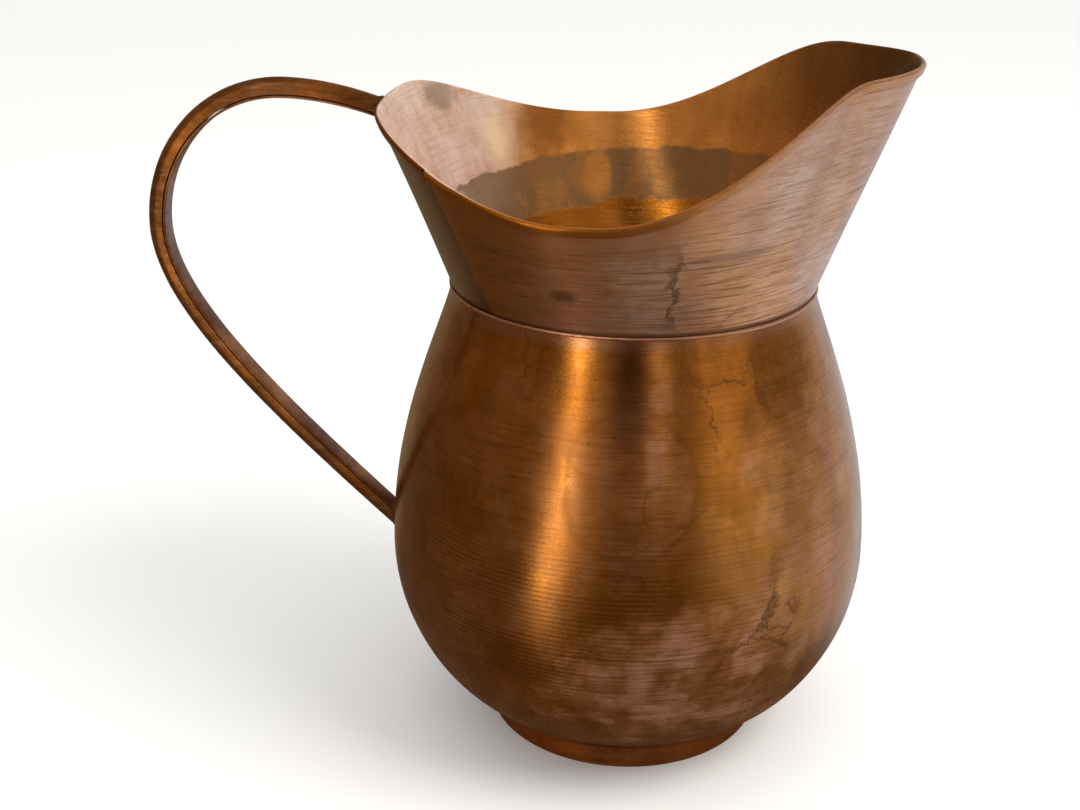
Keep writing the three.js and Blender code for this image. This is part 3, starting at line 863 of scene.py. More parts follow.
def vein_group():
    """Thin branching lines that drying water leaves, broken into patches."""
    tree, given, result = new_tree("Drip Veins", "ShaderNodeTree", [
        ("Place", VECTOR, None), ("Scale", FLOAT, 24.0), ("Width", FLOAT, 0.05),
        ("Cover", FLOAT, 0.5), ("Seed", FLOAT, 0.0),
    ], [("Vein", FLOAT)])
    bend = node(tree, "ShaderNodeTexNoise", {
        "Vector": given["Place"], "Scale": times(tree, given["Scale"], 1.6), "Detail": 5.0,
        "Roughness": 0.65, "W": given["Seed"],
    }, noise_dimensions="4D").outputs[1]
    bend = scaled(tree, vector(tree, "SUBTRACT", bend, (0.5, 0.5, 0.5)), 0.028)
    bent = vector(tree, "ADD", given["Place"], bend)
    cells = node(tree, "ShaderNodeTexVoronoi", {
        "Vector": vector(tree, "MULTIPLY", bent, (1.0, 1.0, 0.75)), "W": given["Seed"],
        "Scale": given["Scale"],
    }, feature="DISTANCE_TO_EDGE", voronoi_dimensions="4D").outputs["Distance"]
    thin = noise(tree, given["Place"], 60.0, 3.0, w=given["Seed"])
    width = times(tree, given["Width"], ramp(tree, thin, 0.3, 0.7, 0.2, 1.6))
    line = rest(tree, ramp(tree, cells, 0.0, width))
    patch = noise(tree, given["Place"], 17.0, 2.0, w=plus(tree, given["Seed"], 9.0))
    level = rest(tree, given["Cover"])
    patch = ramp(tree, patch, level, plus(tree, level, 0.1))
    tree.links.new(times(tree, line, patch), result["Vein"])
    return tree


def run_group():
    """Soft upright runs where water has trickled down."""
    tree, given, result = new_tree("Water Runs", "ShaderNodeTree", [
        ("Place", VECTOR, None), ("Scale", FLOAT, 60.0), ("Cover", FLOAT, 0.5), ("Seed", FLOAT, 0.0),
    ], [("Run", FLOAT)])
    upright_place = vector(tree, "MULTIPLY", given["Place"], (1.0, 1.0, 0.16))
    run = noise(tree, upright_place, given["Scale"], 4.0, 0.55, 0.3, given["Seed"])
    level = rest(tree, given["Cover"])
    shade = ramp(tree, run, minus(tree, level, 0.07), plus(tree, level, 0.11))
    tree.links.new(shade, result["Run"])
    return tree


def blot_group():
    """One ragged blot round a place, 1 at its middle and 0 outside its reach."""
    tree, given, result = new_tree("Ragged Blot", "ShaderNodeTree", [
        ("Place", VECTOR, None), ("Centre", VECTOR, None), ("Reach", FLOAT, 0.02),
        ("Stretch", VECTOR, (1.0, 1.0, 1.0)), ("Ragged", FLOAT, 0.5), ("Edge", FLOAT, 0.2),
    ], [("Blot", FLOAT)])
    off = vector(tree, "SUBTRACT", given["Place"], given["Centre"])
    off = vector(tree, "MULTIPLY", off, given["Stretch"])
    far = node(tree, "ShaderNodeVectorMath", {0: off}, operation="LENGTH").outputs["Value"]
    far = calc(tree, "DIVIDE", far, given["Reach"])
    rough = minus(tree, noise(tree, given["Place"], 55.0, 6.0, 0.65), 0.5)
    far = calc(tree, "MULTIPLY_ADD", rough, times(tree, given["Ragged"], 2.0), far)
    inner = rest(tree, given["Edge"])
    tree.links.new(rest(tree, ramp(tree, far, inner, 1.0)), result["Blot"])
    return tree


class Metal:
    """A copper material while its nodes are laid."""

    def __init__(self, name, groups):
        self.material = bpy.data.materials.new(name)
        self.material.use_nodes = True
        self.tree = self.material.node_tree
        self.tree.nodes.clear()
        self.groups = groups
        place = node(self.tree, "ShaderNodeTexCoord").outputs["Object"]
        self.place = node(self.tree, "ShaderNodeMapping", {0: place, 1: (-AXIS_X, 0.0, 0.0)}).outputs[0]
        self.height = separated(self.tree, self.place)[2]

    def use(self, group, output, **inputs):
        """One output of a shared group at this material's own values."""
        made = self.tree.nodes.new("ShaderNodeGroup")
        made.node_tree = self.groups[group]
        self.tree.links.new(self.place, made.inputs["Place"])
        for key, value in inputs.items():
            label = key.replace("_", " ").title()
            if isinstance(value, bpy.types.NodeSocket):
                self.tree.links.new(value, made.inputs[label])
            else:
                made.inputs[label].default_value = value
        return made.outputs[output] if output else made.outputs

    def read(self, name, output="Fac"):
        """An attribute of the piece's own mesh."""
        return node(self.tree, "ShaderNodeAttribute", attribute_name=name).outputs[output]

    def cloud(self, scale, softness, seed, cover=0.5, output="Cloud"):
        """Patina clouds."""
        return self.use("Patina Clouds", output, scale=scale, softness=softness, seed=seed, cover=cover)

    def streak(self, spacing, seed):
        """Streaks along the turning lines."""
        return self.use("Turning Lines", "Streak", spacing=spacing, seed=seed)

    def run(self, scale, seed):
        """Upright runs of trickled water."""
        return self.use("Water Runs", "Run", scale=scale, cover=0.5, seed=seed)

    def vein(self, scale, width, cover, seed):
        """Veins of dried drips."""
        return self.use("Drip Veins", "Vein", scale=scale, width=width, cover=cover, seed=seed)

    def blot(self, centre, reach, stretch=(1.0, 1.0, 1.0), ragged=0.5, edge=0.6):
        """A ragged blot round a place."""
        size = {"reach": reach, "stretch": stretch, "ragged": ragged, "edge": edge}
        return self.use("Ragged Blot", "Blot", centre=centre, **size)

    def ramp(self, *values):
        return ramp(self.tree, *values)

    def between(self, mask, at_none, at_full):
        """A mask turned to a value where it is 0 and another where it is 1."""
        return ramp(self.tree, mask, 0.0, 1.0, at_none, at_full)

    def all_of(self, *masks):
        """Several masks multiplied together."""
        return times(self.tree, *masks)

    def any_of(self, *masks):
        """The strongest of several masks."""
        return functools.reduce(lambda a, b: calc(self.tree, "MAXIMUM", a, b), masks)

    def rest(self, mask):
        """The mask turned round."""
        return rest(self.tree, mask)

    def added(self, total, *parts):
        """A total with parts of [mask, strength] added."""
        for mask, strength in parts:
            total = calc(self.tree, "MULTIPLY_ADD", mask, strength, total)
        return total

    def layers(self, base, *coats):
        """The base under coats of [mask, strength, colour]."""
        for mask, strength, tone in coats:
            base = blended(self.tree, self.all_of(mask, strength), base, rgba(tone))
        return base

    def finish(self, colour, roughness, metallic, height, depth, brushed=0.75):
        """The shader, with its bump. Brushing spreads the gloss across the level lines."""
        bump = node(self.tree, "ShaderNodeBump", {"Strength": 1.0, "Distance": depth, "Height": height})
        shader = node(self.tree, "ShaderNodeBsdfPrincipled", {
            "Base Color": colour, "Roughness": roughness, "Metallic": metallic,
            "Normal": bump.outputs[0], "Anisotropic": brushed, "Anisotropic Rotation": 0.25,
        })
        if brushed:
            round_axis = node(self.tree, "ShaderNodeTangent", direction_type="RADIAL", axis="Z")
            self.tree.links.new(round_axis.outputs[0], shader.inputs["Tangent"])
        out = node(self.tree, "ShaderNodeOutputMaterial")
        self.tree.links.new(shader.outputs[0], out.inputs["Surface"])
        return self.material


def rgba(value):
    """A colour with its alpha."""
    return (*value, 1.0)


def belly_metal(finish, groups, spacing):
    """Spun belly: golden brown copper with painted shade in the grooves, mauve bloom low on the front,
    a drip's broad tongue below the neck, veins and upright runs, and a painted dark reflection band and
    pale reflection strip below the neck."""
    metal = Metal("Belly copper", groups)
    lines = metal.use("Turning Lines", None, spacing=0.8 * MM, seed=1.0)
    hair = metal.streak(0.24 * MM, 9.0)
    groove_shade = metal.use(
        "Spinning Grooves", "Groove", spacing=spacing, low=RIDGE_LOW, high=RIDGE_HIGH, seed=1.0,
    )
    cloud = metal.cloud(11.0, 0.16, 2.0)
    mottle = metal.cloud(30.0, 0.1, 8.0)
    dapple = metal.cloud(48.0, 0.1, 14.0)
    fine = metal.cloud(90.0, 0.14, 4.0, output=None)
    run = metal.run(62.0, 6.0)
    thin_run = metal.run(130.0, 7.0)
    vein = metal.vein(30.0, 0.035, 0.45, 3.0)
    crack = metal.vein(36.0, 0.05, 0.7, 5.0)
    inside = metal.read("inside")
    front = metal.ramp(separated(metal.tree, metal.place)[1], -0.02, -0.06)
    shoulder_drips = metal.blot((0.038, -0.072, 0.168), 0.032, ragged=1.0, edge=0.9)
    low_drips = metal.blot((0.052, -0.082, 0.080), 0.034, ragged=1.0, edge=0.9)
    smudge = metal.blot((0.045, -0.069, 0.161), 0.012, ragged=0.8, edge=0.9)
    tongue = metal.blot((0.002, -0.088, 0.141), 0.025, (0.95, 0.5, 0.85), 0.22, 0.16)
    shade = metal.blot((-0.017, -0.078, 0.168), 0.017, (1.0, 0.6, 0.8), 0.7, 0.9)
    # Painted reflection: a dark upright band below the neck, in soot colour, stands in for a dark
    # reflection.
    painted_dark_reflection = metal.blot((0.0, -0.077, 0.176), 0.012, (1.0, 0.3, 0.32), 0.35, 0.8)
    # Painted reflection: a pale pink upright strip, laid in with the bloom.
    strip = metal.blot((0.0125, -0.081, 0.160), 0.0085, (1.0, 0.3, 0.24), 0.6, 0.7)
    worn = metal.blot((0.031, -0.081, 0.150), 0.017, (1.0, 0.4, 0.42), 0.8, 0.9)
    low_bloom = metal.blot((0.026, -0.090, 0.060), 0.066, (1.0, 0.7, 1.45), 0.75, 0.55)
    side_bloom = metal.blot((0.072, -0.062, 0.090), 0.045, (1.0, 0.8, 0.9), 0.9, 0.9)
    right_film = metal.blot((0.070, -0.056, 0.135), 0.055, ragged=0.9, edge=0.9)
    low_bloom = metal.all_of(low_bloom, metal.between(dapple, 1.0, 0.45))
    side_bloom = metal.all_of(side_bloom, mottle)
    strip = metal.all_of(strip, metal.between(dapple, 1.0, 0.3))
    # Real oxide bloom, with the painted pale reflection strip mixed in.
    bloom = metal.any_of(
        low_bloom, metal.all_of(side_bloom, 0.8), metal.all_of(strip, 0.7),
        metal.all_of(metal.all_of(cloud, mottle), 0.3), metal.all_of(tongue, 0.3),
        metal.all_of(metal.all_of(right_film, metal.between(dapple, 1.0, 0.4)), 0.6),
    )
    bloom = metal.all_of(bloom, metal.between(fine[0], 1.0, 0.6), metal.between(hair, 1.0, 0.55))
    tongue_rim = metal.all_of(tongue, metal.rest(tongue), metal.between(dapple, 4.0, 1.5))
    drips = metal.all_of(crack, metal.any_of(shoulder_drips, low_drips))
    vein = metal.any_of(
        metal.all_of(vein, 0.35), metal.all_of(drips, 0.75),
        metal.all_of(smudge, 0.4), metal.all_of(tongue_rim, 0.3),
    )
    base = metal.layers(
        blended(metal.tree, metal.all_of(cloud, 0.5), rgba(finish.polished), rgba(finish.tarnish)),
        (run, 0.4, finish.tarnish), (mottle, 0.4, finish.tarnish), (thin_run, 0.25, finish.olive),
        (dapple, 0.38, finish.tarnish), (fine[0], 0.3, finish.tarnish), (tongue, 0.15, finish.tarnish),
        (shade, 0.6, finish.tarnish), (painted_dark_reflection, 0.6, finish.soot_and_dark_reflection),
    )
    x = separated(metal.tree, metal.place)[0]
    # Painted shade in the grooves, fading out to the right.
    groove_shade = metal.all_of(groove_shade, metal.ramp(x, 0.035, 0.0, 0.3, 1.0))
    under_neck = metal.all_of(metal.ramp(metal.height, 0.1862, 0.1895), metal.between(mottle, 1.0, 0.5))
    polish = metal.all_of(worn, metal.between(mottle, 1.0, 0.2))
    base = metal.layers(
        base, (polish, 0.6, finish.polished), (bloom, 1.0, finish.bloom), (hair, 0.22, finish.stain_and_shade),
        (under_neck, 0.6, finish.bloom), (groove_shade, 0.42, finish.stain_and_shade), (vein, 1.0, finish.stain_and_shade),
        (inside, 0.5, finish.tarnish),
    )
    rough = metal.ramp(fine[1], 0.0, 1.0, 0.17, 0.23)
    rough = metal.added(rough, (run, 0.05), (mottle, 0.05), (bloom, 0.17), (vein, 0.12), (front, 0.02))
    metallic = metal.rest(metal.all_of(bloom, 0.28))
    pit = metal.added(lines[0], (fine[1], 0.1), (vein, -0.5), (hair, -0.3))
    return metal.finish(base, rough, metallic, pit, 0.03 * MM)


def collar_metal(finish, groups):
    """Wrapped collar: cross-brushed mauve outside with a painted shadow line under the hem; pale,
    orange, a painted golden highlight, darker towards the lip and a dark tide band inside.
    """
    metal = Metal("Collar copper", groups)
    lines = metal.use("Turning Lines", None, spacing=0.7 * MM, seed=11.0)
    dashes = metal.streak(0.3 * MM, 17.0)
    hair = metal.streak(0.17 * MM, 19.0)
    cloud = metal.cloud(15.0, 0.13, 12.0)
    dapple = metal.cloud(40.0, 0.11, 22.0)
    fine = metal.use("Patina Clouds", None, scale=85.0, cover=0.48, softness=0.12, seed=13.0)
    run = metal.run(55.0, 16.0)
    thin_run = metal.run(120.0, 20.0)
    vein = metal.vein(30.0, 0.035, 0.4, 15.0)
    inside, past_lap, fall = metal.read("inside"), metal.read("past_lap"), metal.read("fall")
    outside = metal.rest(inside)
    x = separated(metal.tree, metal.place)[0]

    under_lap = metal.all_of(
        metal.ramp(past_lap, 0.2 * MM, -0.6 * MM), metal.ramp(past_lap, -80 * MM, -50 * MM),
    )
    beside_lap = metal.rest(under_lap)
    brown = metal.ramp(x, 0.0, -0.058, 0.06, 0.92)
    right = metal.ramp(x, 0.02, 0.075)
    low_half = metal.ramp(fall, 6 * MM, 24 * MM, 0.35, 1.0)
    brushed = metal.all_of(beside_lap, low_half, metal.between(cloud, 1.0, 0.5))
    pale_high = metal.blot((0.054, -0.066, 0.242), 0.017, (1.0, 1.0, 0.8), 0.8, 0.8)
    pale_low = metal.blot((0.067, -0.037, 0.209), 0.018, (1.0, 0.6, 1.0), 0.8, 0.8)
    crack = metal.vein(30.0, 0.05, 0.75, 18.0)
    down_crack = metal.all_of(crack, metal.blot((0.024, -0.076, 0.214), 0.032, ragged=1.0, edge=0.9))
    level_crack = metal.blot((0.036, -0.073, 0.2246), 0.025, (1.0, 1.0, 11.0), 0.5, 0.6)
    crack_shade = metal.blot((0.034, -0.074, 0.216), 0.022, (1.0, 1.0, 2.2), 0.6, 0.6)
    spot = metal.blot((-0.0233, -0.0793, 0.2097), 0.0055, (0.7, 0.7, 1.25), 0.6, 0.7)
    worn = metal.blot((0.008, -0.080, 0.212), 0.027, (1.0, 0.7, 1.0), 0.6, 0.95)
    skin = metal.between(cloud, 0.55, 0.95)
    outer = metal.layers(
        blended(metal.tree, skin, rgba(finish.polished), rgba(finish.mauve)),
        (brown, 1.0, finish.tarnish), (worn, 0.45, finish.pale),
        (metal.all_of(right, metal.between(dapple, 1.0, 0.4)), 0.12, finish.pale),
        (metal.any_of(pale_high, pale_low), 0.45, finish.pale), (dapple, 0.15, finish.tarnish),
        (crack_shade, 0.3, finish.tarnish), (metal.all_of(lines[1], beside_lap), 0.3, finish.tarnish),
        (fine[0], 0.25, finish.tarnish), (under_lap, 0.85, finish.olive),
        (metal.all_of(brushed, metal.ramp(dashes, 0.25, 0.9)), 0.55, finish.stain_and_shade),
        (metal.all_of(brushed, metal.ramp(hair, 0.35, 1.0)), 0.42, finish.stain_and_shade),
    )
    hem = metal.all_of(metal.ramp(fall, 4.0 * MM, 3.6 * MM), metal.ramp(x, 0.06, -0.01, 0.3, 0.9))
    # Painted shadow: a dark line just under the hem's folded edge.
    painted_hem_shadow = metal.all_of(metal.ramp(fall, 3.6 * MM, 3.9 * MM), metal.ramp(fall, 5.0 * MM, 4.1 * MM))
    jagged = minus(metal.tree, noise(metal.tree, metal.place, 190.0, 3.0, 0.6), 0.5)
    off_lap = metal.added(past_lap, (jagged, metal.ramp(metal.height, 0.215, 0.2, 0.5 * MM, 6 * MM)))
    at_lap = metal.all_of(
        metal.ramp(off_lap, -1.8 * MM, -0.5 * MM), metal.ramp(off_lap, 0.9 * MM, 0.3 * MM),
    )
    at_neck = metal.all_of(outside, metal.ramp(metal.height, 0.1952, 0.1936))
    # Dark marks of veins, spot, cracks and joints, with the painted shadow under the hem.
    marks_and_shade = metal.any_of(
        metal.all_of(vein, 0.5), metal.all_of(spot, 0.8),
        metal.all_of(down_crack, 0.75), metal.all_of(level_crack, 0.4),
        metal.all_of(painted_hem_shadow, 0.75), metal.all_of(at_lap, 0.85),
        metal.all_of(at_neck, 0.75),
    )
    outer = metal.layers(outer, (hem, 1.0, finish.tarnish), (marks_and_shade, 1.0, finish.stain_and_shade))

    ragged = noise(metal.tree, metal.place, 38.0, 7.0, 0.72)
    tilted = metal.added(metal.height, (x, -0.08))
    level = metal.added(tilted, (minus(metal.tree, ragged, 0.5), 0.013))
    below_tide = metal.ramp(level, 0.2062, 0.2045)
    tide = metal.all_of(
        metal.rest(below_tide), metal.ramp(level, 0.2262, 0.2248),
        metal.ramp(run, 0.7, 1.0, 0.94, 0.72),
    )
    gap_in_tide = metal.blot((-0.018, 0.083, 0.214), 0.011, (1.3, 1.0, 0.6), 0.5, 0.6)
    tide = metal.all_of(tide, metal.between(gap_in_tide, 1.0, 0.25))
    film = metal.all_of(metal.ramp(x, -0.042, -0.068), metal.between(dapple, 1.0, 0.72))
    # Painted highlight: an upright golden streak on the inner wall.
    painted_golden_highlight = metal.blot((-0.061, 0.069, 0.234), 0.0125, (1.0, 1.0, 0.36), 0.5, 0.95)
    brown_patch = metal.blot((-0.040, 0.086, 0.236), 0.019, (1.0, 1.0, 0.8), 0.7, 0.8)
    grey_patch = metal.blot((-0.082, 0.050, 0.256), 0.016, (1.0, 1.0, 1.5), 0.8, 0.6)
    # Darker on the inner right side, towards the lip.
    dark_inner_right = metal.all_of(metal.ramp(x, 0.03, 0.098), 0.8)
    inner = metal.layers(
        blended(metal.tree, metal.all_of(cloud, 0.3), rgba(finish.polished), rgba(finish.tarnish)),
        (run, 0.25, finish.tarnish), (dapple, 0.2, finish.tarnish), (film, 1.0, finish.pale),
        (brown_patch, 0.8, finish.tarnish), (brown_patch, 0.35, finish.stain_and_shade),
        (thin_run, 0.18, finish.tarnish),
        (metal.ramp(dashes, 0.2, 0.9), 0.2, finish.tarnish), (grey_patch, 0.6, finish.tide),
        (painted_golden_highlight, 0.8, finish.painted_golden_highlight), (dark_inner_right, 1.0, finish.stain_and_shade),
        (below_tide, 0.55, finish.tarnish), (tide, 0.9, finish.tide),
    )
    base = blended(metal.tree, inside, outer, inner)
    bloom = metal.all_of(outside, beside_lap, metal.between(cloud, 0.45, 0.95))
    rough = metal.ramp(fine[1], 0.0, 1.0, 0.23, 0.31)
    rough = metal.added(rough, (bloom, 0.12), (film, 0.1), (marks_and_shade, 0.1))
    dull = metal.all_of(outside, beside_lap, metal.ramp(x, -0.05, 0.06, 0.1, 0.24))
    dry = metal.all_of(inside, metal.rest(dark_inner_right), metal.rest(below_tide))
    dull = metal.added(
        dull, (metal.all_of(inside, film), 0.35), (metal.all_of(tide, inside), 0.12), (dry, 0.28),
    )
    metallic = metal.rest(dull)
    pit = metal.added(lines[0], (dashes, -0.5), (hair, -0.3), (marks_and_shade, -0.4))
    return metal.finish(base, rough, metallic, pit, 0.05 * MM)


def plain_metal(finish, groups, name, clean, dark, cover, rough, seed, depth, brushed=0.0):
    """Bar, ring or filler: one copper going to a darker one in clouds and specks."""
    metal = Metal(name, groups)
    lines = metal.use("Turning Lines", None, spacing=0.8 * MM, seed=seed)
    cloud = metal.use("Patina Clouds", None, scale=30.0, cover=cover, softness=0.14, seed=seed)
    specks = metal.use("Patina Clouds", "Cloud", scale=170.0, cover=0.4, softness=0.08, seed=seed + 1.0)
    base = blended(metal.tree, cloud[0], rgba(clean), rgba(dark))
    base = metal.layers(base, (specks, 0.3, finish.stain_and_shade), (lines[1], 0.2, finish.bloom))
    dull = metal.ramp(cloud[1], 0.0, 1.0, rough, rough + 0.14)
    metallic = metal.between(cloud[0], 1.0, 0.8)
    pit = metal.added(lines[0], (cloud[1], 0.5))
    return metal.finish(base, dull, metallic, pit, depth, brushed)


# Coppers of the bar, the ring and the bead: clean and dark colour, how much is dark, roughness,
# seed and depth of the relief
COPPERS = {
    "Foot copper": ((0.60, 0.185, 0.04), (0.24, 0.07, 0.012), 0.5, 0.32, 21.0, 0.12 * MM),
    "Neck copper": ((0.80, 0.44, 0.30), (0.42, 0.17, 0.09), 0.45, 0.32, 25.0, 0.1 * MM),
    "Handle copper": ((0.42, 0.15, 0.03), (0.15, 0.048, 0.008), 0.55, 0.3, 41.0, 0.06 * MM),
    "Handle strip copper": ((0.52, 0.23, 0.09), (0.14, 0.043, 0.009), 0.58, 0.3, 45.0, 0.06 * MM),
}

# Studio panels that the metal reflects: bearing from the camera in degrees, half width,
# softness, lowest and highest height as a share of straight up, strength, colour
PANELS = (
    (-31, 3, 6, -0.34, 0.95, 4.6, (1.0, 0.89, 0.70)),
    (-21, 6, 7, -0.3, 0.9, 0.36, (1.0, 0.82, 0.6)),
    (14, 4, 5, 0.0, 0.95, 0.78, (1.0, 0.86, 0.76)),
    (52, 9, 15, -0.34, 0.92, 0.66, (1.0, 0.78, 0.54)),
    (-3, 6, 5, -0.1, 0.97, 0.11, (1.0, 0.62, 0.55)),
    (152, 20, 14, -0.3, 0.85, 0.5, (1.0, 0.90, 0.84)),
    (-155, 12, 16, -0.6, 0.8, 0.2, (0.90, 0.72, 0.38)),
)


# What else the metal reflects: the studio between the panels, and the table with a bright
# part that begins at these distances to one side. All other rays see the pale surround.
DIM_LEVEL, DIM_OVERHEAD = (0.165, 0.105, 0.058, 1.0), (0.40, 0.30, 0.21, 1.0)
DIM_TABLE, TABLE_TONE = (0.085, 0.054, 0.032, 1.0), (0.045, 0.032, 0.024, 1.0)
BRIGHT_TABLE = (0.58, 0.66, 0.74, 1.0)
BRIGHT_SIDE, BRIGHT_FROM = (0.9, 0.43, 0.0), (0.125, 0.23)
PALE_SURROUND = (1.0, 1.0, 0.99, 1.0)


def soft_panel_group():
    """One tall soft light panel of the studio, as seen in a given direction."""
    tree, given, result = new_tree("Soft Panel", "ShaderNodeTree", [
        ("Bearing", FLOAT, 0.0), ("Height", FLOAT, 0.0), ("Middle", FLOAT, 0.0),
        ("Half Width", FLOAT, 0.2), ("Softness", FLOAT, 0.1), ("Low", FLOAT, -0.5),
        ("High", FLOAT, 0.9),
    ], [("Panel", FLOAT)])
    off = minus(tree, given["Bearing"], given["Middle"])
    off = calc(tree, "ABSOLUTE", calc(tree, "WRAP", off, math.pi, -math.pi))
    width = plus(tree, given["Half Width"], given["Softness"])
    sides = rest(tree, ramp(tree, off, given["Half Width"], width))
    foot = ramp(tree, given["Height"], given["Low"], plus(tree, given["Low"], 0.3))
    head = ramp(tree, given["Height"], given["High"], minus(tree, given["High"], 0.15))
    tree.links.new(times(tree, sides, times(tree, foot, head)), result["Panel"])
    return tree


def panelled(tree, direction, view, dim):
    """The dim studio with its panels, in a direction from the jug."""
    x, y, height = separated(tree, direction)
    bearing = calc(tree, "ARCTAN2", x, times(tree, y, -1.0))
    bearing = minus(tree, bearing, view.azimuth)
    group = shared("Soft Panel", soft_panel_group)
    for middle, half, soft, low, high, strength, tint in PANELS:
        panel = node(tree, "ShaderNodeGroup", {}, node_tree=group)
        tree.links.new(bearing, panel.inputs["Bearing"])
        tree.links.new(height, panel.inputs["Height"])
        panel.inputs["Low"].default_value, panel.inputs["High"].default_value = low, high
        for label, degrees in (("Middle", middle), ("Half Width", half), ("Softness", soft)):
            panel.inputs[label].default_value = math.radians(degrees)
        lit = tuple(strength * channel for channel in tint)
        dim = blended(tree, panel.outputs[0], dim, (*lit, 1.0))
    return dim


def floor_paint(view):
    """Pale floor. The copper sees it as a darker polished table that carries the panels on and is
    bright only beside the jug, at its right."""
    material = bpy.data.materials.new("Floor paint")
    material.use_nodes = True
    tree = material.node_tree
    shader = tree.nodes["Principled BSDF"]
    gloss = node(tree, "ShaderNodeLightPath").outputs["Is Glossy Ray"]
    place = node(tree, "ShaderNodeTexCoord").outputs["Object"]
    jug_middle = (0.0, 0.0, WIDEST_HEIGHT)
    direction = vector(tree, "NORMALIZE", vector(tree, "SUBTRACT", place, jug_middle))
    glow = panelled(tree, direction, view, DIM_TABLE)
    beside = node(
        tree, "ShaderNodeVectorMath", {0: place, 1: BRIGHT_SIDE}, operation="DOT_PRODUCT"
    ).outputs["Value"]
    glow = blended(tree, ramp(tree, beside, *BRIGHT_FROM), glow, BRIGHT_TABLE)
    tone = blended(tree, gloss, rgba(view.floor_colour), TABLE_TONE)
    tree.links.new(tone, shader.inputs["Base Color"])
    tree.links.new(blended(tree, gloss, (0.0, 0.0, 0.0, 1.0), glow), shader.inputs["Emission Color"])
    shader.inputs["Emission Strength"].default_value = 1.0
    shader.inputs["Roughness"].default_value = 0.9
    shader.inputs["Specular IOR Level"].default_value = 0.1
    return material


def studio_world(view):
    """Soft pale surround, with tall panels that only the metal reflects."""
    world = bpy.data.worlds.new("Studio")
    world.use_nodes = True
    tree = world.node_tree
    tree.nodes.clear()
    direction = node(tree, "ShaderNodeTexCoord").outputs["Generated"]
    height = separated(tree, direction)[2]
    dim = blended(tree, ramp(tree, height, 0.0, 0.95), DIM_LEVEL, DIM_OVERHEAD)
    dim = panelled(tree, direction, view, dim)
    gloss = node(tree, "ShaderNodeLightPath").outputs["Is Glossy Ray"]
    seen = blended(tree, gloss, PALE_SURROUND, dim)
    sky = node(tree, "ShaderNodeBackground", {"Color": seen, "Strength": 1.0})
    out = node(tree, "ShaderNodeOutputWorld")
    tree.links.new(sky.outputs[0], out.inputs["Surface"])
    return world


# ---- Operators ------------------------------------------------------------------------------

def metal_groups():
    """The shared effects of all the metals."""
    return {
        "Turning Lines": shared("Turning Lines", turning_lines_group),
        "Spinning Grooves": shared("Spinning Grooves", groove_shade_group),
        "Patina Clouds": shared("Patina Clouds", patina_group),
        "Drip Veins": shared("Drip Veins", vein_group),
        "Water Runs": shared("Water Runs", run_group),
        "Ragged Blot": shared("Ragged Blot", blot_group),
    }


def copper(context, name):
    """One of the plain coppers."""
    return shared(name, plain_metal, context.scene.jug_finish, metal_groups(), name, *COPPERS[name])


def braze(context):
    """Dark filler of the brazed joints."""
    finish = context.scene.jug_finish
    tones = (finish.tarnish, finish.soot_and_dark_reflection, 0.6, 0.42, 31.0, 0.2 * MM)
    return shared("Braze", plain_metal, finish, metal_groups(), "Braze", *tones)


class JUG_OT_belly(bpy.types.Operator):
    """Spin the belly from its outline"""

    bl_idname = "jug.belly"
    bl_label = "Belly"

    def execute(self, context):
        shape, finish = context.scene.jug_shape, context.scene.jug_finish
        outer = belly_outline(shape, 0.0, 900, 900)
        outer = spaced(outer, 0.45 * MM, 1.1 * MM, RIDGE_LOW, RIDGE_HIGH)
        inner = belly_outline(shape, shape.belly_wall, 36, 40)[::-1]
        inner[0] = (shape.neck_radius - shape.belly_wall, shape.neck_height)
        low, floor = BELLY_LOW.z, BELLY_LOW.z + shape.belly_wall
        bottom = [(r, low) for r in np.linspace(0, UNDERSIDE_RADIUS, 9)[:-1]]
        basin = [(r, floor) for r in np.linspace(UNDERSIDE_RADIUS, 0, 7)[1:]]
        piece = turned("belly_spun", [*bottom, *outer, *inner, *basin], {
            "Steps Round": shape.steps_round, "Outside Rows": len(bottom) + len(outer),
            "Low": low + 6 * MM, "High": shape.neck_height - 4 * MM,
            "Ridge Spacing": shape.ridge_spacing, "Ridge Height": shape.ridge_height,
            "Ridge Low": RIDGE_LOW, "Ridge High": RIDGE_HIGH,
            "Unevenness": shape.unevenness, "Seed": 1.0,
            "Material": shared(
                "Belly copper", belly_metal, finish, metal_groups(), shape.ridge_spacing
            ),
        })
        settle(piece, "belly_copper", "belly")
        return {"FINISHED"}


class JUG_OT_collar(bpy.types.Operator):
    """Wrap the collar with its hem, lap and lip"""

    bl_idname = "jug.collar"
    bl_label = "Collar"

    def execute(self, context):
        shape, finish = context.scene.jug_shape, context.scene.jug_finish
        piece = ring_mesh("collar_wrapped", *collar_mesh(shape))
        piece.data.materials.append(shared("Collar copper", collar_metal, finish, metal_groups()))
        settle(piece, "collar_copper", "collar")
        return {"FINISHED"}


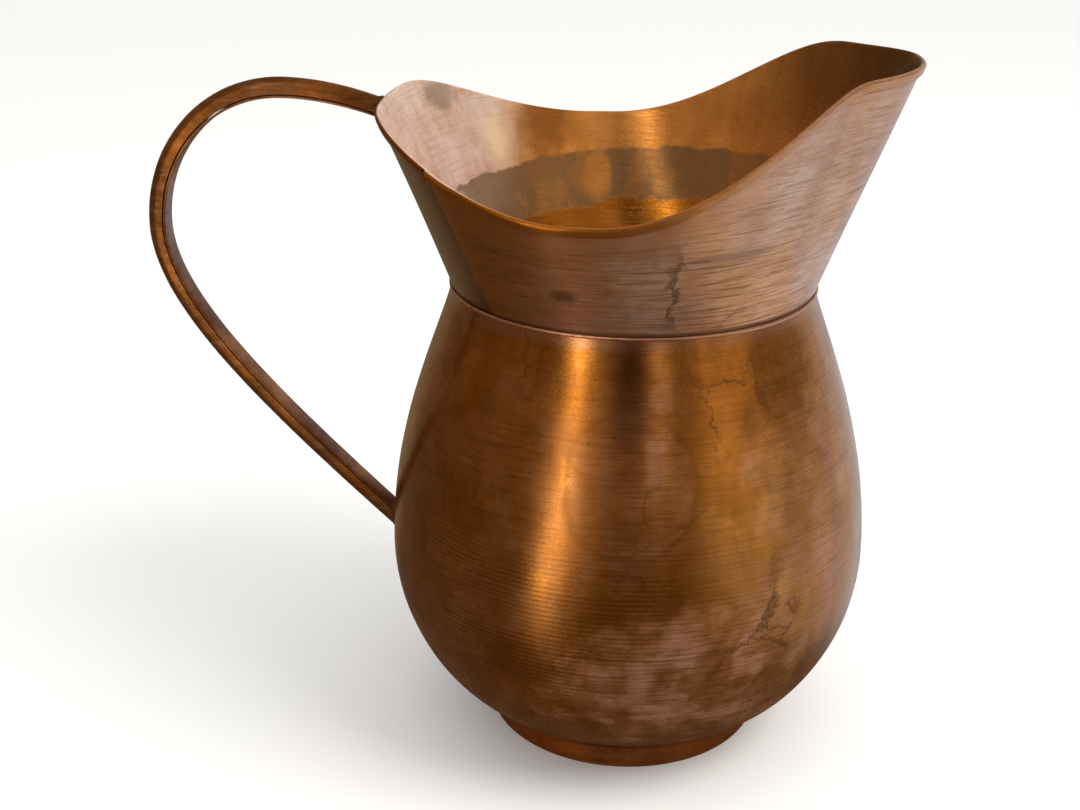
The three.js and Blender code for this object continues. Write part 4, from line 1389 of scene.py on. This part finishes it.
class JUG_OT_foot(bpy.types.Operator):
    """Turn the foot ring and the filler above it"""

    bl_idname = "jug.foot"
    bl_label = "Foot"

    def execute(self, context):
        shape = context.scene.jug_shape
        outline = belly_outline(shape, -GAP, 128, 20)[:129]
        top = shape.foot_radius - 1 * MM

        def under(radius):
            return np.interp(radius, outline[:, 0], outline[:, 1])

        corners = [
            (shape.foot_radius - shape.foot_wall, 0.0), (shape.foot_radius, 0.0),
            (top + 0.15 * MM, BELLY_LOW.z - 1.5 * MM), (top - 0.1 * MM, BELLY_LOW.z + 0.2 * MM),
            (top, BELLY_LOW.z + 1.6 * MM), (top, under(top)),
            (top - shape.foot_wall, under(top - shape.foot_wall)), (top - shape.foot_wall, BELLY_LOW.z),
        ]
        ring = turned("foot_ring_turned", softened(corners, 0.5 * MM, 4), {
            "Steps Round": shape.steps_round, "Outside Rows": 1000, "Low": -1.0, "High": 1.0,
            "Ridge Height": 0.0, "Unevenness": 0.03 * MM, "Seed": 2.0,
            "Material": copper(context, "Foot copper"),
        })
        settle(ring, "foot_copper", "foot_ring")
        inner = top + GAP
        section = [
            (0, under(inner) - 2.3 * MM), (1.0 * MM, under(inner) - 0.7 * MM),
            (2.6 * MM, under(inner + 2.6 * MM) - 0.15 * MM), (1.3 * MM, under(inner + 1.3 * MM)),
            (0, under(inner)),
        ]
        middle = under(inner) - 0.5 * MM
        section = [(r, z - middle) for r, z in section]
        places, frames = ring_path(inner, middle, lambda turn: 1.0 + 0.12 * waver(turn, 0.0, 5))
        filler = swept(
            "foot_braze_bead", softened(section, 0.5 * MM), places, braze(context),
            (0.12 * MM, 260.0), 5.0, **frames,
        )
        settle(filler, "braze", "foot_braze")
        return {"FINISHED"}


class JUG_OT_neck(bpy.types.Operator):
    """Lay the bead round the neck and the filler along the collar's lap"""

    bl_idname = "jug.neck"
    bl_label = "Neck Bead and Seam"

    def execute(self, context):
        shape = context.scene.jug_shape
        half = [
            (0.0, -1.0), (0.6, -0.8), (0.95, -0.35), (1.05, 0.1), (0.95, 0.5), (0.6, 0.85), (0.1, 1.0),
        ]
        section = [(out * shape.bead_radius, up * shape.bead_radius) for out, up in half]
        places, frames = ring_path(
            shape.neck_radius + 0.35 * MM, shape.neck_height,
            lambda turn: 0.86 + 0.1 * waver(turn, 0.0, 8),
        )
        bead = swept(
            "neck_bead_rolled", softened(section, 0.5 * MM), places, copper(context, "Neck copper"),
            (0.1 * MM, 210.0), 2.0, **frames,
        )
        settle(bead, "belly_copper", "neck_bead")
        steps = 90
        share = np.linspace(0, 1, steps + 1)
        sheet = CollarSheet(shape, np.full(steps + 1, LAP_ANGLE - 0.55))
        along = LAP_DRESS + share * (sheet.length - shape.hem_width - 1.2 * MM - LAP_DRESS)
        sway = 0.55 * MM * along / sheet.length * waver(sheet.turn, along, 3)
        places = sheet.point(along, sway + 0.28 * MM)
        away = sheet.point(along, sway + 1 * MM) - sheet.point(along, sway)
        away /= np.linalg.norm(away, axis=1)[:, None]
        forward = np.gradient(places, axis=0)
        forward /= np.linalg.norm(forward, axis=1)[:, None]
        section = [(-0.25, -0.9), (0.25, -0.5), (0.5, 0.2), (0.4, 0.75), (-0.25, 0.75)]
        seam = swept(
            "collar_seam_filler",
            softened([(out * MM, side * MM) for out, side in section], 0.2 * MM),
            places, braze(context), (0.12 * MM, 420.0), 3.0,
            away=away, across=np.cross(forward, away), along=forward, run=along,
            thick=np.clip(np.minimum(share, 1 - share) * 25, 0.0, 1.0), slant=np.zeros(steps + 1),
        )
        settle(seam, "braze", "collar_seam_braze")
        return {"FINISHED"}


class JUG_OT_handle(bpy.types.Operator):
    """Sweep the handle's shell and strip and braze its two ends"""

    bl_idname = "jug.handle"
    bl_label = "Handle"

    def execute(self, context):
        shape = context.scene.jug_shape
        places, frames = handle_path(shape)
        for name, section, metal, lump, seed, node_name in (
            ("handle_back", shell_section(shape), "Handle copper", 0.07 * MM, 7.0, "handle_shell"),
            (
                "handle_finger_strip", strip_section(shape), "Handle strip copper", 0.06 * MM, 8.0,
                "handle_strip",
            ),
        ):
            bar = swept(name, section, places, copper(context, metal), (lump, 90.0), seed, **frames)
            settle(bar, "handle_copper", node_name)
        fillet = [(-0.1, 0.0), (1.2, 0.0), (0.75, 0.7), (0.3, 1.9), (-0.1, 2.6)]
        section = softened([(out * MM, up * MM) for out, up in fillet], 0.4 * MM)
        for name, end, node_name in (
            ("handle_top_filler", 0, "handle_top_braze"),
            ("handle_foot_filler", -1, "handle_foot_braze"),
        ):
            loop, loop_frames = joint_path(shape, end)
            filler = swept(
                name, section, loop, braze(context), (0.15 * MM, 380.0), 4.0 + end, **loop_frames
            )
            settle(filler, "braze", node_name)
        return {"FINISHED"}


class JUG_OT_stage(bpy.types.Operator):
    """Set the floor, the studio light and the camera"""

    bl_idname = "jug.stage"
    bl_label = "Stage"

    def execute(self, context):
        scene, view = context.scene, context.scene.jug_view
        half = view.floor_size / 2
        mesh = bpy.data.meshes.new("floor")
        corners = [(-half, -half, 0), (half, -half, 0), (half, half, 0), (-half, half, 0)]
        mesh.from_pydata(corners, [], [(0, 1, 2, 3)])
        floor = bpy.data.objects.new("floor", mesh)
        mesh.materials.append(floor_paint(view))
        scene.collection.objects.link(floor)
        scene.world = studio_world(view)
        scene.view_settings.view_transform = "Standard"
        key = bpy.data.lights.new("Overhead panel", "AREA")
        key.energy, key.color = view.lamp_power, view.lamp_colour
        key.shape, key.size = "DISK", view.lamp_size
        lamp = bpy.data.objects.new("Overhead panel", key)
        lamp.location = view.lamp_place
        lamp.rotation_mode = "QUATERNION"
        lamp.rotation_quaternion = lamp.location.to_track_quat("Z", "Y")
        lamp.visible_glossy = False
        scene.collection.objects.link(lamp)
        lens = bpy.data.cameras.new("Camera")
        lens.lens, lens.sensor_width = view.lens, SENSOR_WIDTH
        camera = bpy.data.objects.new("Camera", lens)
        a, e = view.azimuth, view.elevation
        back = Vector((math.sin(a) * math.cos(e), -math.cos(a) * math.cos(e), math.sin(e)))
        camera.location = Vector(view.target) + back * view.distance
        camera.rotation_mode = "QUATERNION"
        aim = (-back).to_track_quat("-Z", "Y")
        camera.rotation_quaternion = Quaternion(back, view.roll) @ aim
        scene.collection.objects.link(camera)
        scene.camera = camera
        return {"FINISHED"}


OPERATORS = (JUG_OT_stage, JUG_OT_belly, JUG_OT_collar, JUG_OT_foot, JUG_OT_neck, JUG_OT_handle)


class JUG_PT_panel(bpy.types.Panel):
    """Buttons for each group of pieces"""

    bl_label = "Copper Jug"
    bl_idname = "JUG_PT_panel"
    bl_space_type = "VIEW_3D"
    bl_region_type = "UI"
    bl_category = "Copper Jug"

    def draw(self, context):
        for operator in OPERATORS:
            self.layout.operator(operator.bl_idname)
        for settings in (context.scene.jug_shape, context.scene.jug_finish, context.scene.jug_view):
            box = self.layout.box()
            for name in settings.__annotations__:
                box.prop(settings, name)


CLASSES = (JugShape, JugFinish, JugView, *OPERATORS, JUG_PT_panel)


def register():
    for item in CLASSES:
        bpy.utils.register_class(item)
    bpy.types.Scene.jug_shape = PointerProperty(type=JugShape)
    bpy.types.Scene.jug_finish = PointerProperty(type=JugFinish)
    bpy.types.Scene.jug_view = PointerProperty(type=JugView)


def unregister():
    del bpy.types.Scene.jug_shape, bpy.types.Scene.jug_finish, bpy.types.Scene.jug_view
    for item in reversed(CLASSES):
        bpy.utils.unregister_class(item)


def main():
    register()
    for operator in OPERATORS:
        group, name = operator.bl_idname.split(".")
        getattr(getattr(bpy.ops, group), name)()


if __name__ == "__main__":
    main()
